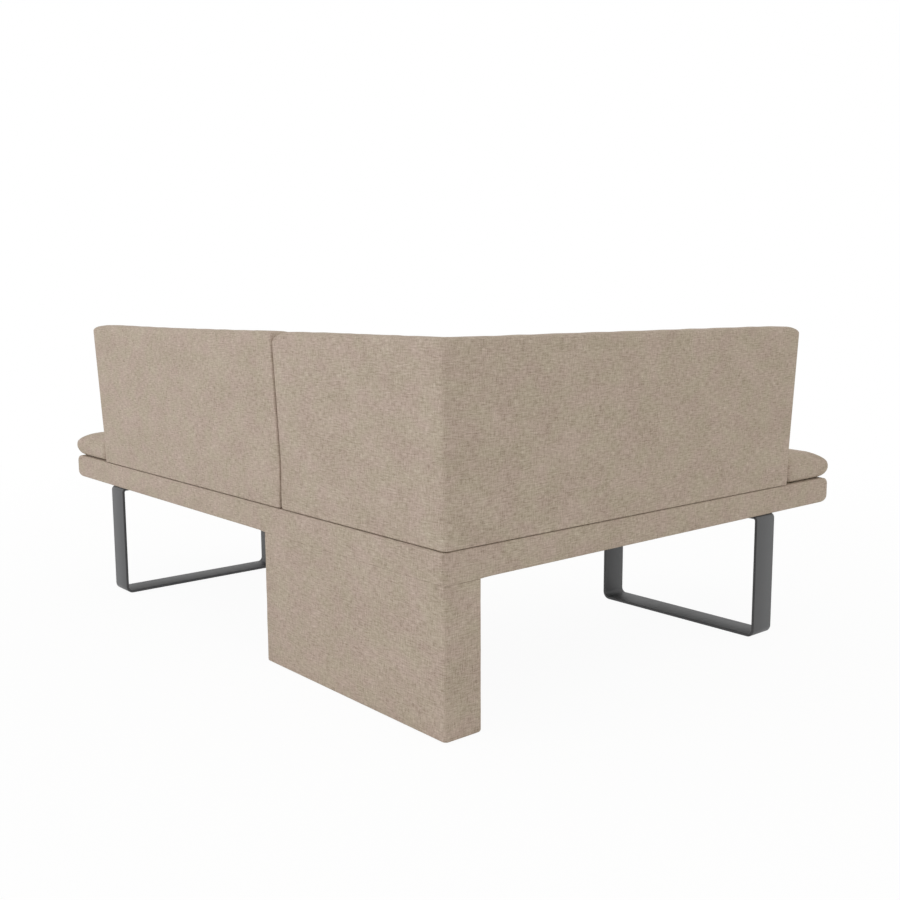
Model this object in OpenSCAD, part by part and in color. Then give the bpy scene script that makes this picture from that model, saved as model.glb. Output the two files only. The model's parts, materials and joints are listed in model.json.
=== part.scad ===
// Corner dining bench: an upholstered L-shaped seat with two leaning backrests.
// It stands on a padded plinth behind the corner and on a flat-bar steel sled under each wing.
// Lengths are in millimetres. The pieces are laid out from the outer rear corner on the floor,
// with X along the short wing and Y along the long wing, and place() centres the whole.

/* [Overall] */
// Height of the backrests' top above the floor
total_height = 850; // [800:5:920]
// Outer length of the long wing, from the rear corner
long_wing = 1920; // [1700:10:2300]
// Outer length of the short wing, from the rear corner
short_wing = 1450; // [1300:10:1800]
// Depth of both wings from rear to front
bench_depth = 620; // [580:5:680]

/* [Base] */
// Height of the base's top above the floor
base_height = 410; // [390:5:430]
// Thickness of the upholstered base
base_t = 70; // [62:1:84]
// Rounding of the base's ends and front edges
base_edge_r = 18; // [12:1:18]
// Rounding of the base's free corners in plan
base_corner_r = 20; // [8:1:30]
// Rounding of the base's outer rear corner in plan
base_rear_corner_r = 9; // [4:1:14]
// Foam strip round the base's frame
base_foam_t = 18; // [17:0.5:24]
// Upholstery fabric
fabric_t = 1.5; // [1:0.1:2]
// Non-woven lining under the base
lining_t = 1; // [0.6:0.1:1]
// Thickness of the frame's rails
rail_t = 25; // [20:1:32]
// Width of the cross rails between the side rails
cross_rail_w = 45; // [30:1:60]
// Plywood deck on the frame
deck_t = 12; // [9:1:15]

/* [Backrests] */
// Thickness of the backrests
back_t = 75; // [70:1:90]
// How far the backrests lean out at the top
back_lean = 25; // [10:1:32]
// Rounding of the backrests' top edges
back_top_r = 22; // [12:1:28]
// Rounding of the backrests' upright edges at their free ends
back_end_r = 16; // [8:1:20]
// Rounding of the backrests' upright edges at the joint between them
back_joint_r = 7; // [4:1:10]
// Rounding of the backrest at the outer rear corner
back_corner_r = 14; // [8:1:20]
// Free seat beyond the backrest on the long wing
long_free_end = 235; // [200:5:300]
// Free seat beyond the backrest on the short wing
short_free_end = 214; // [200:1:280]
// Plywood panel inside each backrest
back_panel_t = 18; // [15:1:20]
// Foam over the panels' top and ends
back_edge_foam_t = 30; // [28:1:40]

/* [Seat pads] */
// Thickness of a seat pad at the top of its crown
pad_h = 78; // [70:1:86]
// Height of a pad's nose, its widest line, over the base
pad_nose_h = 35; // [30:1:40]
// How far a pad's foot is drawn in under its nose
pad_undercut = 26; // [16:1:30]
// Distance over which the crown rises from the edge
pad_crown_run = 92; // [70:1:96]
// Overhang of the pads past the base's rear and ends
pad_overhang = 5; // [2:1:8]
// Rounding of the pads' free corners in plan
pad_corner_r = 34; // [30:1:44]
// Rounding of the pads' other corners in plan
pad_inner_r = 30; // [28:1:34]
// Plywood board under a pad
pad_board_t = 9; // [8:1:12]

/* [Plinth] */
// Length of the plinth along the long wing
plinth_length = 710; // [660:5:800]
// Thickness of the plinth
plinth_t = 100; // [90:1:130]
// Rounding of the plinth's upright edges
plinth_edge_r = 8; // [6:1:12]
// Rounding of the plinth's lower edge
plinth_foot_r = 5; // [3:1:6]
// Boards of the plinth's box
plinth_board_t = 16; // [12:1:19]
// Wadding between the box and its cover
plinth_wadding_t = 3; // [2:0.5:4]

/* [Sleds] */
// Width of the flat steel bar
bar_w = 80; // [60:1:90]
// Thickness of the flat steel bar
bar_t = 8; // [6:0.5:10]
// Depth of a sled, from the base's rear to its front upright
sled_depth = 545; // [500:5:560]
// Distance from a wing's end to the near edge of its sled
sled_inset = 270; // [220:5:320]
// Outer radius of a sled's bends
sled_bend_r = 22; // [18:1:32]

/* [Fasteners and feet] */
// Bolt diameter of the sleds, the backrests and the frame joint
bolt_d = 8; // [6:1:8]
// Diameter of a bolt's head
bolt_head_d = 14; // [12:1:16]
// Height of a bolt's head
bolt_head_h = 4.5; // [3:0.5:5]
// Outer diameter of the insert nuts in the bearers
insert_d = 12; // [10.5:0.5:14]
// Wood screw diameter
screw_d = 4.5; // [3.5:0.5:5]
// Diameter of a screw's head
screw_head_d = 8.5; // [7:0.5:9]
// Height of a screw's head
screw_head_h = 3; // [2:0.5:3.5]
// Height of the floor glides under the sleds
glide_h = 2; // [1.5:0.5:4]
// Diameter of the floor glides
glide_d = 26; // [18:1:30]
// Width of the steel uprights in the backrests
upright_w = 40; // [30:1:50]
// Thickness of the steel uprights
upright_t = 6; // [4:0.5:6]
// Height of the uprights over the base
upright_reach = 260; // [200:5:300]

/* [Hidden] */

fabric_colour = [0.71, 0.655, 0.59];
steel_colour = [0.27, 0.28, 0.29];
wood_colour = [0.80, 0.68, 0.50];
ply_colour = [0.84, 0.74, 0.58];
foam_colour = [0.93, 0.90, 0.80];
lining_colour = [0.08, 0.08, 0.08];
zinc_colour = [0.72, 0.73, 0.74];
glide_colour = [0.15, 0.15, 0.15];

// Facets of round solids, and straight steps in a quarter of a soft edge
$fn = 48;
arc_steps = 4;
edge_steps = 4;
// Overrun of every cut, and the play of bolts, screws and slots in their holes
overrun = 2;
bolt_play = 0.5;
screw_play = 0.1;
slot_play = 1;
// Slack between soft pieces that stand side by side
soft_gap = 0.6;
// Smallest plan radius that a rounded corner is drawn in to
least_r = 1;
// Shares of the base's edge rounding that its rear edges have
rear_edge_share = 0.45;
// Shares of the crown's run at which a pad's rings lie
crown_shares = [0, 0.03, 0.1, 0.27, 0.58, 1];
// Powers of the crown's curve, along and up
crown_run_power = 2;
crown_rise_power = 1.7;

// Heights
base_z = base_height - base_t;
rail_z = base_z + fabric_t;
deck_top = base_height - fabric_t;
deck_z = deck_top - deck_t;
rail_h = deck_z - rail_z;
// Outer faces of the base's frame, in from the fabric
frame_inset = fabric_t + base_foam_t;
frame_depth = bench_depth - frame_inset;
plinth_screw_x = frame_inset + rail_t / 2;
// Widths of fabric turned in under the base and over its deck, clear of the screws and the uprights
cover_return = plinth_screw_x - screw_d;
cover_band = frame_inset + rail_t - slot_play - soft_gap;
// Backrests
back_h = total_height - base_height;
lean_angle = atan(back_lean / back_h);
long_back_end = long_wing - long_free_end;
short_back_end = short_wing - short_free_end;
// The uprights stand against the rear rails' inner faces, and the panels against the uprights
upright_y = frame_inset + rail_t;
panel_y = upright_y - back_panel_t;
back_return = panel_y * 3 / 4;
upright_screw_shares = [0.45, 0.85];
upright_bolt_len = upright_t + rail_t * 3 / 4;
back_screw_len = upright_t + back_panel_t * 3 / 4;
// Reach of the backrests' rear faces past the base
back_reach = back_lean * (back_h - back_top_r) / back_h;
// Centre of the whole in plan
centre_x = (short_wing + pad_overhang - back_reach) / 2;
centre_y = (long_wing + pad_overhang - back_reach) / 2;
// Sleds
sled_h = base_z - glide_h;
short_sled_x = short_wing - sled_inset - bar_w;
long_sled_y = long_wing - sled_inset - bar_w;
bolt_inset = sled_bend_r + bolt_head_d * 4;
sled_bolt_depths = [bolt_inset, sled_depth - bolt_inset];
sled_bolt_sides = [bar_w / 4, bar_w * 3 / 4];
insert_h = rail_h * 2 / 3;
// Plinth
plinth_z = glide_h;
plinth_inset = fabric_t + plinth_wadding_t;
plinth_board_z = plinth_z + fabric_t;
plinth_return = plinth_inset + plinth_board_t / 2;
plinth_screw_len = plinth_board_t + fabric_t + rail_h / 3;

// Numbers of the pieces that repeat: the uprights are those of the short wing, of the corner's
// other side and of the long backrest, and the glides are those of each row under the plinth
cross_rail_count = 3;
short_upright_count = 4;
corner_upright_count = 2;
long_upright_count = 4;
joint_bolt_count = 2;
pad_screw_count = 4;
plinth_screw_count = 4;
plinth_glide_count = 3;

// Points spread evenly between two ends, half a step in from each
function spread(low, high, count) = [for (i = [0 : count - 1]) low + (high - low) * (i + 0.5) / count];

// Places along the wings, worked out from their spans
short_cross_xs = spread(frame_inset + rail_t, short_sled_x, cross_rail_count);
long_cross_ys = spread(frame_depth + rail_t, long_sled_y, cross_rail_count);
short_upright_xs = spread(back_t, short_back_end, short_upright_count);
corner_upright_ys = spread(back_t, bench_depth, corner_upright_count);
long_upright_ys = spread(bench_depth, long_back_end, long_upright_count);
upright_bolt_z = rail_z + rail_h / 2;
joint_bolt_xs = spread(frame_inset + rail_t, frame_depth - rail_t, joint_bolt_count);
plinth_screw_ys = spread(frame_inset + rail_t, plinth_length - plinth_inset, plinth_screw_count);

module place() {
    translate([-centre_x, -centre_y, 0]) children();
}

// Swaps X and Y, so that what is drawn along the short wing lies along the long wing
module along_y() {
    mirror([1, -1, 0]) children();
}

module block(low, high) {
    translate(low) cube(high - low);
}

// Soft forms are lofts of rings. A ring is a right-angled outline, drawn anticlockwise, whose edges
// are each moved in by an amount of their own and whose corners are rounded.
function step_of(plan, k) = plan[(k + 1) % len(plan)] - plan[k];
function inward(v) = [-v.y, v.x] / norm(v);
function ring(plan, radii, insets, draw, z) = [
    for (k = [0 : len(plan) - 1])
        let (
            before = (k + len(plan) - 1) % len(plan),
            v = step_of(plan, before),
            w = step_of(plan, k),
            a = inward(v),
            b = inward(w),
            turn = sign(v.x * w.y - v.y * w.x),
            corner = plan[k] + a * insets[before] + b * insets[k],
            r = turn > 0 ? max(radii[k] - draw, least_r) : radii[k] + draw,
            hub = corner + turn * r * (a + b)
        )
        for (i = [0 : arc_steps])
            let (t = 90 * i / arc_steps, p = hub - turn * r * (a * cos(t) + b * sin(t)))
            [p.x, p.y, z]
];

// A point of a ring's plane that sees the whole ring: an L is seen from between its inner corner
// and the outer corner across from it, and a rectangle from its middle
function eye(plan, r) =
    let (
        count = len(plan),
        turns = [for (k = [0 : count - 1])
            let (v = step_of(plan, (k + count - 1) % count), w = step_of(plan, k)) v.x * w.y - v.y * w.x],
        inner = [for (k = [0 : count - 1]) if (turns[k] < 0) k],
        one = len(inner) > 0 ? inner[0] : 0,
        two = (one + count / 2) % count,
        width = arc_steps + 1
    )
    (r[one * width] + r[one * width + arc_steps] + r[two * width] + r[two * width + arc_steps]) / 4;

module loft(plan, rings) {
    n = len(rings[0]);
    last = len(rings) - 1;
    foot = (last + 1) * n;
    polyhedron(
        points = concat([for (r = rings) for (p = r) p], [eye(plan, rings[0]), eye(plan, rings[last])]),
        faces = concat(
            [for (i = [0 : n - 1]) [foot, i, (i + 1) % n]],
            [for (j = [0 : last - 1]) for (i = [0 : n - 1])
                [j * n + i, (j + 1) * n + i, (j + 1) * n + (i + 1) % n]],
            [for (j = [0 : last - 1]) for (i = [0 : n - 1])
                [j * n + i, (j + 1) * n + (i + 1) % n, j * n + (i + 1) % n]],
            [for (i = [0 : n - 1]) [foot + 1, last * n + (i + 1) % n, last * n + i]]
        )
    );
}

// The base, moved in all over by inset
base_plan = [[0, 0], [short_wing, 0], [short_wing, bench_depth], [bench_depth, bench_depth],
    [bench_depth, long_wing], [0, long_wing]];
base_radii = [base_rear_corner_r, base_corner_r, base_corner_r, base_rear_corner_r, base_corner_r,
    base_corner_r];
base_edge_shares = [rear_edge_share, 1, 1, 1, 1, rear_edge_share];
module base_form(inset) {
    r = base_edge_r - inset;
    low = [for (i = [0 : edge_steps]) let (t = 90 * i / edge_steps) [1 - sin(t), 1 - cos(t)]];
    high = [for (i = [0 : edge_steps]) let (t = 90 * i / edge_steps) [1 - cos(t), 1 - sin(t)]];
    loft(base_plan, concat(
        [for (s = low) ring(base_plan, base_radii, [for (e = base_edge_shares) inset + e * r * s[0]],
            inset + r * s[0], base_z + inset + r * s[1])],
        [for (s = high) ring(base_plan, base_radii, [for (e = base_edge_shares) inset + e * r * s[0]],
            inset + r * s[0], base_height - inset - r * s[1])]
    ));
}

// An L-shaped slab whose outline lies inset within the base's
module base_slab(inset, z, h) {
    block([inset, inset, z], [short_wing - inset, bench_depth - inset, z + h]);
    block([inset, inset, z], [bench_depth - inset, long_wing - inset, z + h]);
}

// A backrest, moved in all over by inset. Faces that lean out have a lean of -1, and faces that
// follow them have 1.
corner_back_plan = [[0, 0], [short_back_end, 0], [short_back_end, back_t], [back_t, back_t],
    [back_t, bench_depth - soft_gap / 2], [0, bench_depth - soft_gap / 2]];
corner_back_radii = [back_corner_r, back_end_r, back_end_r, back_joint_r, back_joint_r, back_joint_r];
corner_back_leans = [-1, 0, 1, 1, 0, -1];
long_back_plan = [[0, bench_depth + soft_gap / 2], [back_t, bench_depth + soft_gap / 2],
    [back_t, long_back_end], [0, long_back_end]];
long_back_radii = [back_joint_r, back_joint_r, back_end_r, back_end_r];
long_back_leans = [0, 1, 0, -1];
module back_form(plan, radii, leans, inset) {
    r = back_top_r - inset;
    heights = concat(
        [[0, inset]],
        [for (i = [0 : edge_steps + 1]) let (t = 90 * i / (edge_steps + 1))
            [r * (1 - cos(t)), back_h - inset - r * (1 - sin(t))]]
    );
    loft(plan, [for (h = heights)
        ring(plan, radii, [for (s = leans) inset + h[0] + s * back_lean * h[1] / back_h],
            inset + h[0], base_height + h[1])]);
}

module back_shell(plan, radii, leans) {
    difference() {
        back_form(plan, radii, leans, 0);
        back_form(plan, radii, leans, fabric_t);
        back_mouth(plan);
    }
}

// The opening under a backrest, inside the fabric that is turned in
module back_mouth(plan) {
    insets = [for (p = plan) back_return];
    loft(plan, [for (z = [-overrun, fabric_t + overrun])
        ring(plan, [for (p = plan) least_r], insets, 0, base_height + z)]);
}

// A seat pad, moved in all over by inset
pad_clear = back_t + soft_gap;
short_pad_plan = [[pad_clear, pad_clear], [short_back_end + soft_gap, pad_clear],
    [short_back_end + soft_gap, -pad_overhang], [short_wing + pad_overhang, -pad_overhang],
    [short_wing + pad_overhang, bench_depth - soft_gap / 2], [pad_clear, bench_depth - soft_gap / 2]];
short_pad_radii = [pad_inner_r, least_r, pad_inner_r, pad_corner_r, pad_corner_r, pad_inner_r];
long_pad_plan = [[pad_clear, bench_depth + soft_gap / 2], [bench_depth, bench_depth + soft_gap / 2],
    [bench_depth, long_wing + pad_overhang], [-pad_overhang, long_wing + pad_overhang],
    [-pad_overhang, long_back_end + soft_gap], [pad_clear, long_back_end + soft_gap]];
long_pad_radii = [pad_inner_r, pad_inner_r, pad_corner_r, pad_corner_r, pad_inner_r, least_r];
module pad_form(plan, radii, inset) {
    rise = pad_h - pad_nose_h - inset;
    low = [for (i = [0 : edge_steps - 1]) let (t = 90 * i / edge_steps)
        [(pad_undercut - inset) * (1 - sin(t)), inset + (pad_nose_h - inset) * (1 - cos(t))]];
    high = [for (s = crown_shares)
        [s * (pad_crown_run - inset),
            pad_nose_h + rise * pow(1 - pow(1 - s, crown_run_power), 1 / crown_rise_power)]];
    loft(plan, [for (h = concat(low, high))
        ring(plan, radii, [for (p = plan) inset + h[0]], inset + h[0], base_height + h[1])]);
}

// A right-angled prism within a pad's outline
module pad_slab(plan, inset, z, h) {
    radii = [for (p = plan) least_r];
    loft(plan, [for (level = [z, z + h]) ring(plan, radii, [for (p = plan) inset], 0, level)]);
}

pad_board_inset = pad_undercut + soft_gap;
pad_return = pad_board_inset + pad_board_t * 2;
pad_board_z = base_height + fabric_t;
module pad_shell(plan, radii) {
    difference() {
        pad_form(plan, radii, 0);
        pad_form(plan, radii, fabric_t);
        pad_slab(plan, pad_return, base_height - overrun, fabric_t + overrun * 2);
    }
}

// Places of the pads' screws, two rows along each wing
pad_screw_rows = [bench_depth * 2 / 5, bench_depth * 3 / 5];
short_pad_screws = [for (x = spread(back_t, short_wing, pad_screw_count)) for (y = pad_screw_rows) [x, y]];
long_pad_screws = [for (y = spread(bench_depth, long_wing, pad_screw_count)) for (x = pad_screw_rows) [x, y]];
pad_screw_bite = pad_board_t * 2 / 3;

// Bores of the pads' screws through a layer that starts at z
module screw_bores(places, z, h) {
    for (p = places)
        translate([p.x, p.y, z - overrun]) cylinder(d = screw_d + screw_play * 2, h = h + overrun);
}

// Wells that clear the heads of the pads' screws where a rail lies under them
module pad_screw_wells() {
    for (p = concat(short_pad_screws, long_pad_screws))
        translate([p.x, p.y, rail_z - overrun])
            cylinder(d = screw_head_d + screw_play * 2, h = rail_h + overrun * 2);
}

// Steel uprights. Each is bolted inside the rear rail and leans with the backrest above the base.
module leaning() {
    translate([0, 0, base_height]) rotate([lean_angle, 0, 0]) children();
}

module above_base() {
    intersection() {
        children();
        block([-long_wing, -bench_depth, base_height], [long_wing, bench_depth, total_height]);
    }
}

module upright_blank(x) {
    block([x - upright_w / 2, upright_y, rail_z], [x + upright_w / 2, upright_y + upright_t, base_height]);
    above_base() leaning() block([x - upright_w / 2, upright_y, -upright_reach],
        [x + upright_w / 2, upright_y + upright_t, upright_reach]);
}

// Room for a leaning upright in the foam in front of its panel
module upright_room(x) {
    leaning() block([x - upright_w / 2 - soft_gap, upright_y - soft_gap, -upright_t],
        [x + upright_w / 2 + soft_gap, upright_y + upright_t + soft_gap, upright_reach + soft_gap]);
}

module upright_slot(x) {
    block([x - upright_w / 2 - slot_play, upright_y - slot_play, rail_z - overrun],
        [x + upright_w / 2 + slot_play, upright_y + upright_t + slot_play, base_height + fabric_t + overrun]);
}

module upright_pocket(x) {
    block([x - upright_w / 2 - slot_play, upright_y - slot_play, rail_z - overrun],
        [x + upright_w / 2 + slot_play, upright_y + upright_t + bolt_head_h + slot_play, deck_z + overrun]);
}

// Cylinders along Y at the two bolts of an upright, from the inside towards the rear rail
module at_upright_bolts(x) {
    for (side = [-1, 1])
        translate([x + side * upright_w / 4, upright_y + upright_t, upright_bolt_z])
            rotate([90, 0, 0]) children();
}

// Cylinders square to the leaning panel at the two screws of an upright
module at_upright_screws(x) {
    leaning() for (share = upright_screw_shares)
        translate([x, upright_y + upright_t, upright_reach * share]) rotate([90, 0, 0]) children();
}

module upright(x) {
    difference() {
        upright_blank(x);
        at_upright_bolts(x) translate([0, 0, -overrun])
            cylinder(d = bolt_d + bolt_play * 2, h = upright_t + overrun * 2);
        at_upright_screws(x) translate([0, 0, -overrun])
            cylinder(d = screw_d + bolt_play * 2, h = upright_t + overrun * 2);
    }
}

module upright_bolt_bores(x) {
    at_upright_bolts(x) cylinder(d = bolt_d + screw_play, h = upright_bolt_len + screw_play);
}

// A bolt or screw whose head lies under z = 0 and whose shank runs up
module fastener(d, length, head_d, head_h) {
    cylinder(d = d, h = length);
    translate([0, 0, -head_h]) cylinder(d = head_d, h = head_h);
}

// Corner backrest, long backrest: all their uprights, drawn by the child of each place
module at_short_uprights() {
    for (x = short_upright_xs) let ($x = x) children();
}

module at_corner_uprights() {
    for (y = corner_upright_ys) let ($x = y) along_y() children();
}

module at_long_uprights() {
    for (y = long_upright_ys) let ($x = y) along_y() children();
}

module at_all_uprights() {
    at_short_uprights() children();
    at_corner_uprights() children();
    at_long_uprights() children();
}

// A leaning plywood panel along X, standing on the base between two ends
module back_panel_blank(from, to) {
    intersection() {
        leaning() block([from, panel_y, -back_t], [to, upright_y, back_h - back_edge_foam_t]);
        block([from - overrun, -bench_depth, base_height + fabric_t],
            [to + overrun, bench_depth, total_height]);
    }
}

// The half of the corner on the short wing's side of the mitre
module short_side_of_mitre() {
    translate([0, 0, base_height - overrun]) linear_extrude(back_h)
        polygon([[-back_t, -back_t], [long_wing, -back_t], [long_wing, long_wing]]);
}

module corner_back_short_blank() {
    intersection() {
        back_panel_blank(-back_t, short_back_end - back_edge_foam_t);
        short_side_of_mitre();
    }
}

module corner_back_long_blank() {
    along_y() intersection() {
        back_panel_blank(-back_t, bench_depth - back_edge_foam_t);
        short_side_of_mitre();
    }
}

module long_back_blank() {
    along_y() back_panel_blank(bench_depth + back_edge_foam_t, long_back_end - back_edge_foam_t);
}

module panel_screw_bores() {
    at_upright_screws($x) cylinder(d = screw_d + screw_play, h = back_screw_len + screw_play);
}

module screw_head_room() {
    at_upright_screws($x) translate([0, 0, -screw_head_h - screw_play])
        cylinder(d = screw_head_d + screw_play * 2, h = screw_head_h + screw_play * 2);
}

// Frame of the base
module frame_cuts() {
    plinth_screw_bores();
    at_all_uprights() upright_bolt_bores($x);
    joint_bolt_bores();
}

module cross_cuts() {
    at_all_uprights() upright_pocket($x);
    pad_screw_wells();
    joint_bolt_room();
}

module short_wing_side_rails() {
    color(wood_colour) place() difference() {
        for (y = [frame_inset, frame_depth - rail_t])
            block([frame_inset, y, rail_z], [short_wing - frame_inset, y + rail_t, deck_z]);
        frame_cuts();
    }
}

module short_wing_cross_rails() {
    low = frame_inset + rail_t;
    high = frame_depth - rail_t;
    color(wood_colour) place() {
        difference() {
            for (x = [frame_inset, short_wing - frame_inset - rail_t])
                block([x, low, rail_z], [x + rail_t, high, deck_z]);
            frame_cuts();
        }
        difference() {
            for (x = short_cross_xs)
                block([x - cross_rail_w / 2, low, rail_z], [x + cross_rail_w / 2, high, deck_z]);
            cross_cuts();
        }
    }
}

module long_wing_side_rails() {
    color(wood_colour) place() difference() {
        for (x = [frame_inset, frame_depth - rail_t])
            block([x, frame_depth, rail_z], [x + rail_t, long_wing - frame_inset, deck_z]);
        frame_cuts();
    }
}

module long_wing_cross_rails() {
    low = frame_inset + rail_t;
    high = frame_depth - rail_t;
    color(wood_colour) place() {
        difference() {
            for (y = [frame_depth, long_wing - frame_inset - rail_t])
                block([low, y, rail_z], [high, y + rail_t, deck_z]);
            frame_cuts();
        }
        difference() {
            for (y = long_cross_ys)
                block([low, y - cross_rail_w / 2, rail_z], [high, y + cross_rail_w / 2, deck_z]);
            cross_cuts();
        }
    }
}

// The bearers are the wide rails that the sleds are bolted to
module sled_bearers() {
    low = frame_inset + rail_t;
    high = frame_depth - rail_t;
    color(wood_colour) place() difference() {
        union() {
            block([low, long_sled_y, rail_z], [high, long_sled_y + bar_w, deck_z]);
            block([short_sled_x, low, rail_z], [short_sled_x + bar_w, high, deck_z]);
        }
        cross_cuts();
        at_sled_bolts(rail_z - overrun) cylinder(d = insert_d + screw_play * 2, h = insert_h + overrun);
    }
}

module short_wing_deck() {
    color(ply_colour) place() difference() {
        block([frame_inset, frame_inset, deck_z], [short_wing - frame_inset, frame_depth, deck_top]);
        at_all_uprights() upright_slot($x);
        screw_bores(short_pad_screws, deck_z, deck_t);
    }
}

module long_wing_deck() {
    color(ply_colour) place() difference() {
        block([frame_inset, frame_depth, deck_z], [frame_depth, long_wing - frame_inset, deck_top]);
        at_long_uprights() upright_slot($x);
        screw_bores(long_pad_screws, deck_z, deck_t);
    }
}

module base_edge_foam() {
    color(foam_colour) place() difference() {
        base_form(fabric_t);
        base_slab(frame_inset, base_z, base_t);
    }
}

module base_cover() {
    color(fabric_colour) place() difference() {
        base_form(0);
        base_form(fabric_t);
        base_slab(cover_return, base_z - overrun, fabric_t + overrun * 2);
        base_slab(cover_band, deck_top - overrun, fabric_t + overrun * 2);
    }
}

module lining(low, high) {
    difference() {
        block([low.x, low.y, rail_z - lining_t], [high.x, high.y, rail_z]);
        at_sled_bolts(base_z) cylinder(d = bolt_d + bolt_play * 2, h = fabric_t + overrun);
        plinth_screw_bores();
    }
}

module short_wing_lining() {
    inset = cover_return + soft_gap;
    color(lining_colour) place() lining([inset, inset], [short_wing - inset, bench_depth - inset]);
}

module long_wing_lining() {
    inset = cover_return + soft_gap;
    color(lining_colour) place()
        lining([inset, bench_depth - inset + soft_gap], [bench_depth - inset, long_wing - inset]);
}

// Bolts that join the two frames, along Y through the rails that meet behind the corner
module at_joint_bolts() {
    for (x = joint_bolt_xs)
        translate([x, frame_depth - rail_t, upright_bolt_z]) rotate([-90, 0, 0]) children();
}

module joint_bolt_bores() {
    at_joint_bolts() translate([0, 0, -overrun])
        cylinder(d = bolt_d + screw_play * 2, h = (rail_t + overrun) * 2);
}

module joint_bolt_room() {
    at_joint_bolts() translate([0, 0, -bolt_head_h - overrun])
        cylinder(d = bolt_head_d + overrun, h = rail_t * 2 + (bolt_head_h * 2 + overrun) * 2);
}

module wing_joint_bolts() {
    color(zinc_colour) place() at_joint_bolts()
        fastener(bolt_d, rail_t * 2 + bolt_head_h * 2, bolt_head_d, bolt_head_h);
}

module wing_joint_nuts() {
    color(zinc_colour) place() at_joint_bolts() translate([0, 0, rail_t * 2]) difference() {
        cylinder(d = bolt_head_d, h = bolt_head_h, $fn = 6);
        translate([0, 0, -overrun]) cylinder(d = bolt_d + screw_play * 2, h = bolt_head_h + overrun * 2);
    }
}

// The cloth that covers the deck inside the band of upholstery fabric
module platform_cloth() {
    inset = cover_band + soft_gap / 2;
    color(lining_colour) place() difference() {
        base_slab(inset, deck_top, fabric_t);
        at_all_uprights() upright_slot($x);
        screw_bores(short_pad_screws, deck_top, fabric_t + overrun);
        screw_bores(long_pad_screws, deck_top, fabric_t + overrun);
    }
}

// Seat pads
module short_pad_board() {
    color(ply_colour) place() difference() {
        pad_slab(short_pad_plan, pad_board_inset, pad_board_z, pad_board_t);
        screw_bores(short_pad_screws, pad_board_z, pad_screw_bite);
    }
}

module long_pad_board() {
    color(ply_colour) place() difference() {
        pad_slab(long_pad_plan, pad_board_inset, pad_board_z, pad_board_t);
        screw_bores(long_pad_screws, pad_board_z, pad_screw_bite);
    }
}

module short_pad_foam() {
    color(foam_colour) place() difference() {
        pad_form(short_pad_plan, short_pad_radii, fabric_t);
        pad_slab(short_pad_plan, pad_board_inset, base_height, fabric_t + pad_board_t);
    }
}

module long_pad_foam() {
    color(foam_colour) place() difference() {
        pad_form(long_pad_plan, long_pad_radii, fabric_t);
        pad_slab(long_pad_plan, pad_board_inset, base_height, fabric_t + pad_board_t);
    }
}

module short_pad_cover() {
    color(fabric_colour) place() pad_shell(short_pad_plan, short_pad_radii);
}

module long_pad_cover() {
    color(fabric_colour) place() pad_shell(long_pad_plan, long_pad_radii);
}

module pad_screws() {
    color(zinc_colour) place() for (p = concat(short_pad_screws, long_pad_screws))
        translate([p.x, p.y, deck_z])
            fastener(screw_d, pad_board_z - deck_z + pad_screw_bite - screw_play, screw_head_d, screw_head_h);
}

// Backrests
module corner_back_short_panel() {
    color(ply_colour) place() difference() {
        corner_back_short_blank();
        at_short_uprights() panel_screw_bores();
    }
}

module corner_back_long_panel() {
    color(ply_colour) place() difference() {
        corner_back_long_blank();
        at_corner_uprights() panel_screw_bores();
    }
}

module long_back_panel() {
    color(ply_colour) place() difference() {
        long_back_blank();
        at_long_uprights() panel_screw_bores();
    }
}

module corner_back_foam() {
    color(foam_colour) place() difference() {
        back_form(corner_back_plan, corner_back_radii, corner_back_leans, fabric_t);
        corner_back_short_blank();
        corner_back_long_blank();
        at_short_uprights() upright_room($x);
        at_corner_uprights() upright_room($x);
        at_short_uprights() screw_head_room();
        at_corner_uprights() screw_head_room();
    }
}

module long_back_foam() {
    color(foam_colour) place() difference() {
        back_form(long_back_plan, long_back_radii, long_back_leans, fabric_t);
        long_back_blank();
        at_long_uprights() upright_room($x);
        at_long_uprights() screw_head_room();
    }
}

module corner_back_cover() {
    color(fabric_colour) place() difference() {
        back_shell(corner_back_plan, corner_back_radii, corner_back_leans);
        at_short_uprights() upright_slot($x);
        at_corner_uprights() upright_slot($x);
    }
}

module long_back_cover() {
    color(fabric_colour) place() difference() {
        back_shell(long_back_plan, long_back_radii, long_back_leans);
        at_long_uprights() upright_slot($x);
    }
}

module corner_back_uprights() {
    color(steel_colour) place() {
        at_short_uprights() upright($x);
        at_corner_uprights() upright($x);
    }
}

module long_back_uprights() {
    color(steel_colour) place() at_long_uprights() upright($x);
}

module back_bolts() {
    color(zinc_colour) place() at_all_uprights() at_upright_bolts($x)
        fastener(bolt_d, upright_bolt_len, bolt_head_d, bolt_head_h);
}

module back_screws() {
    color(zinc_colour) place() at_all_uprights() at_upright_screws($x)
        fastener(screw_d, back_screw_len, screw_head_d, screw_head_h);
}

// Plinth
plinth_plan = [[0, 0], [plinth_t, 0], [plinth_t, plinth_length], [0, plinth_length]];
module plinth_form(inset, top) {
    r = plinth_foot_r - inset;
    low = [for (i = [0 : edge_steps]) let (t = 90 * i / edge_steps)
        [r * (1 - sin(t)), inset + r * (1 - cos(t))]];
    radii = [for (p = plinth_plan) plinth_edge_r];
    loft(plinth_plan, concat(
        [for (h = low) ring(plinth_plan, radii, [for (p = plinth_plan) inset + h[0]], inset + h[0],
            plinth_z + h[1])],
        [ring(plinth_plan, radii, [for (p = plinth_plan) inset], inset, top)]
    ));
}

module plinth_slab(inset, z, top) {
    block([inset, inset, z], [plinth_t - inset, plinth_length - inset, top]);
}

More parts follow.
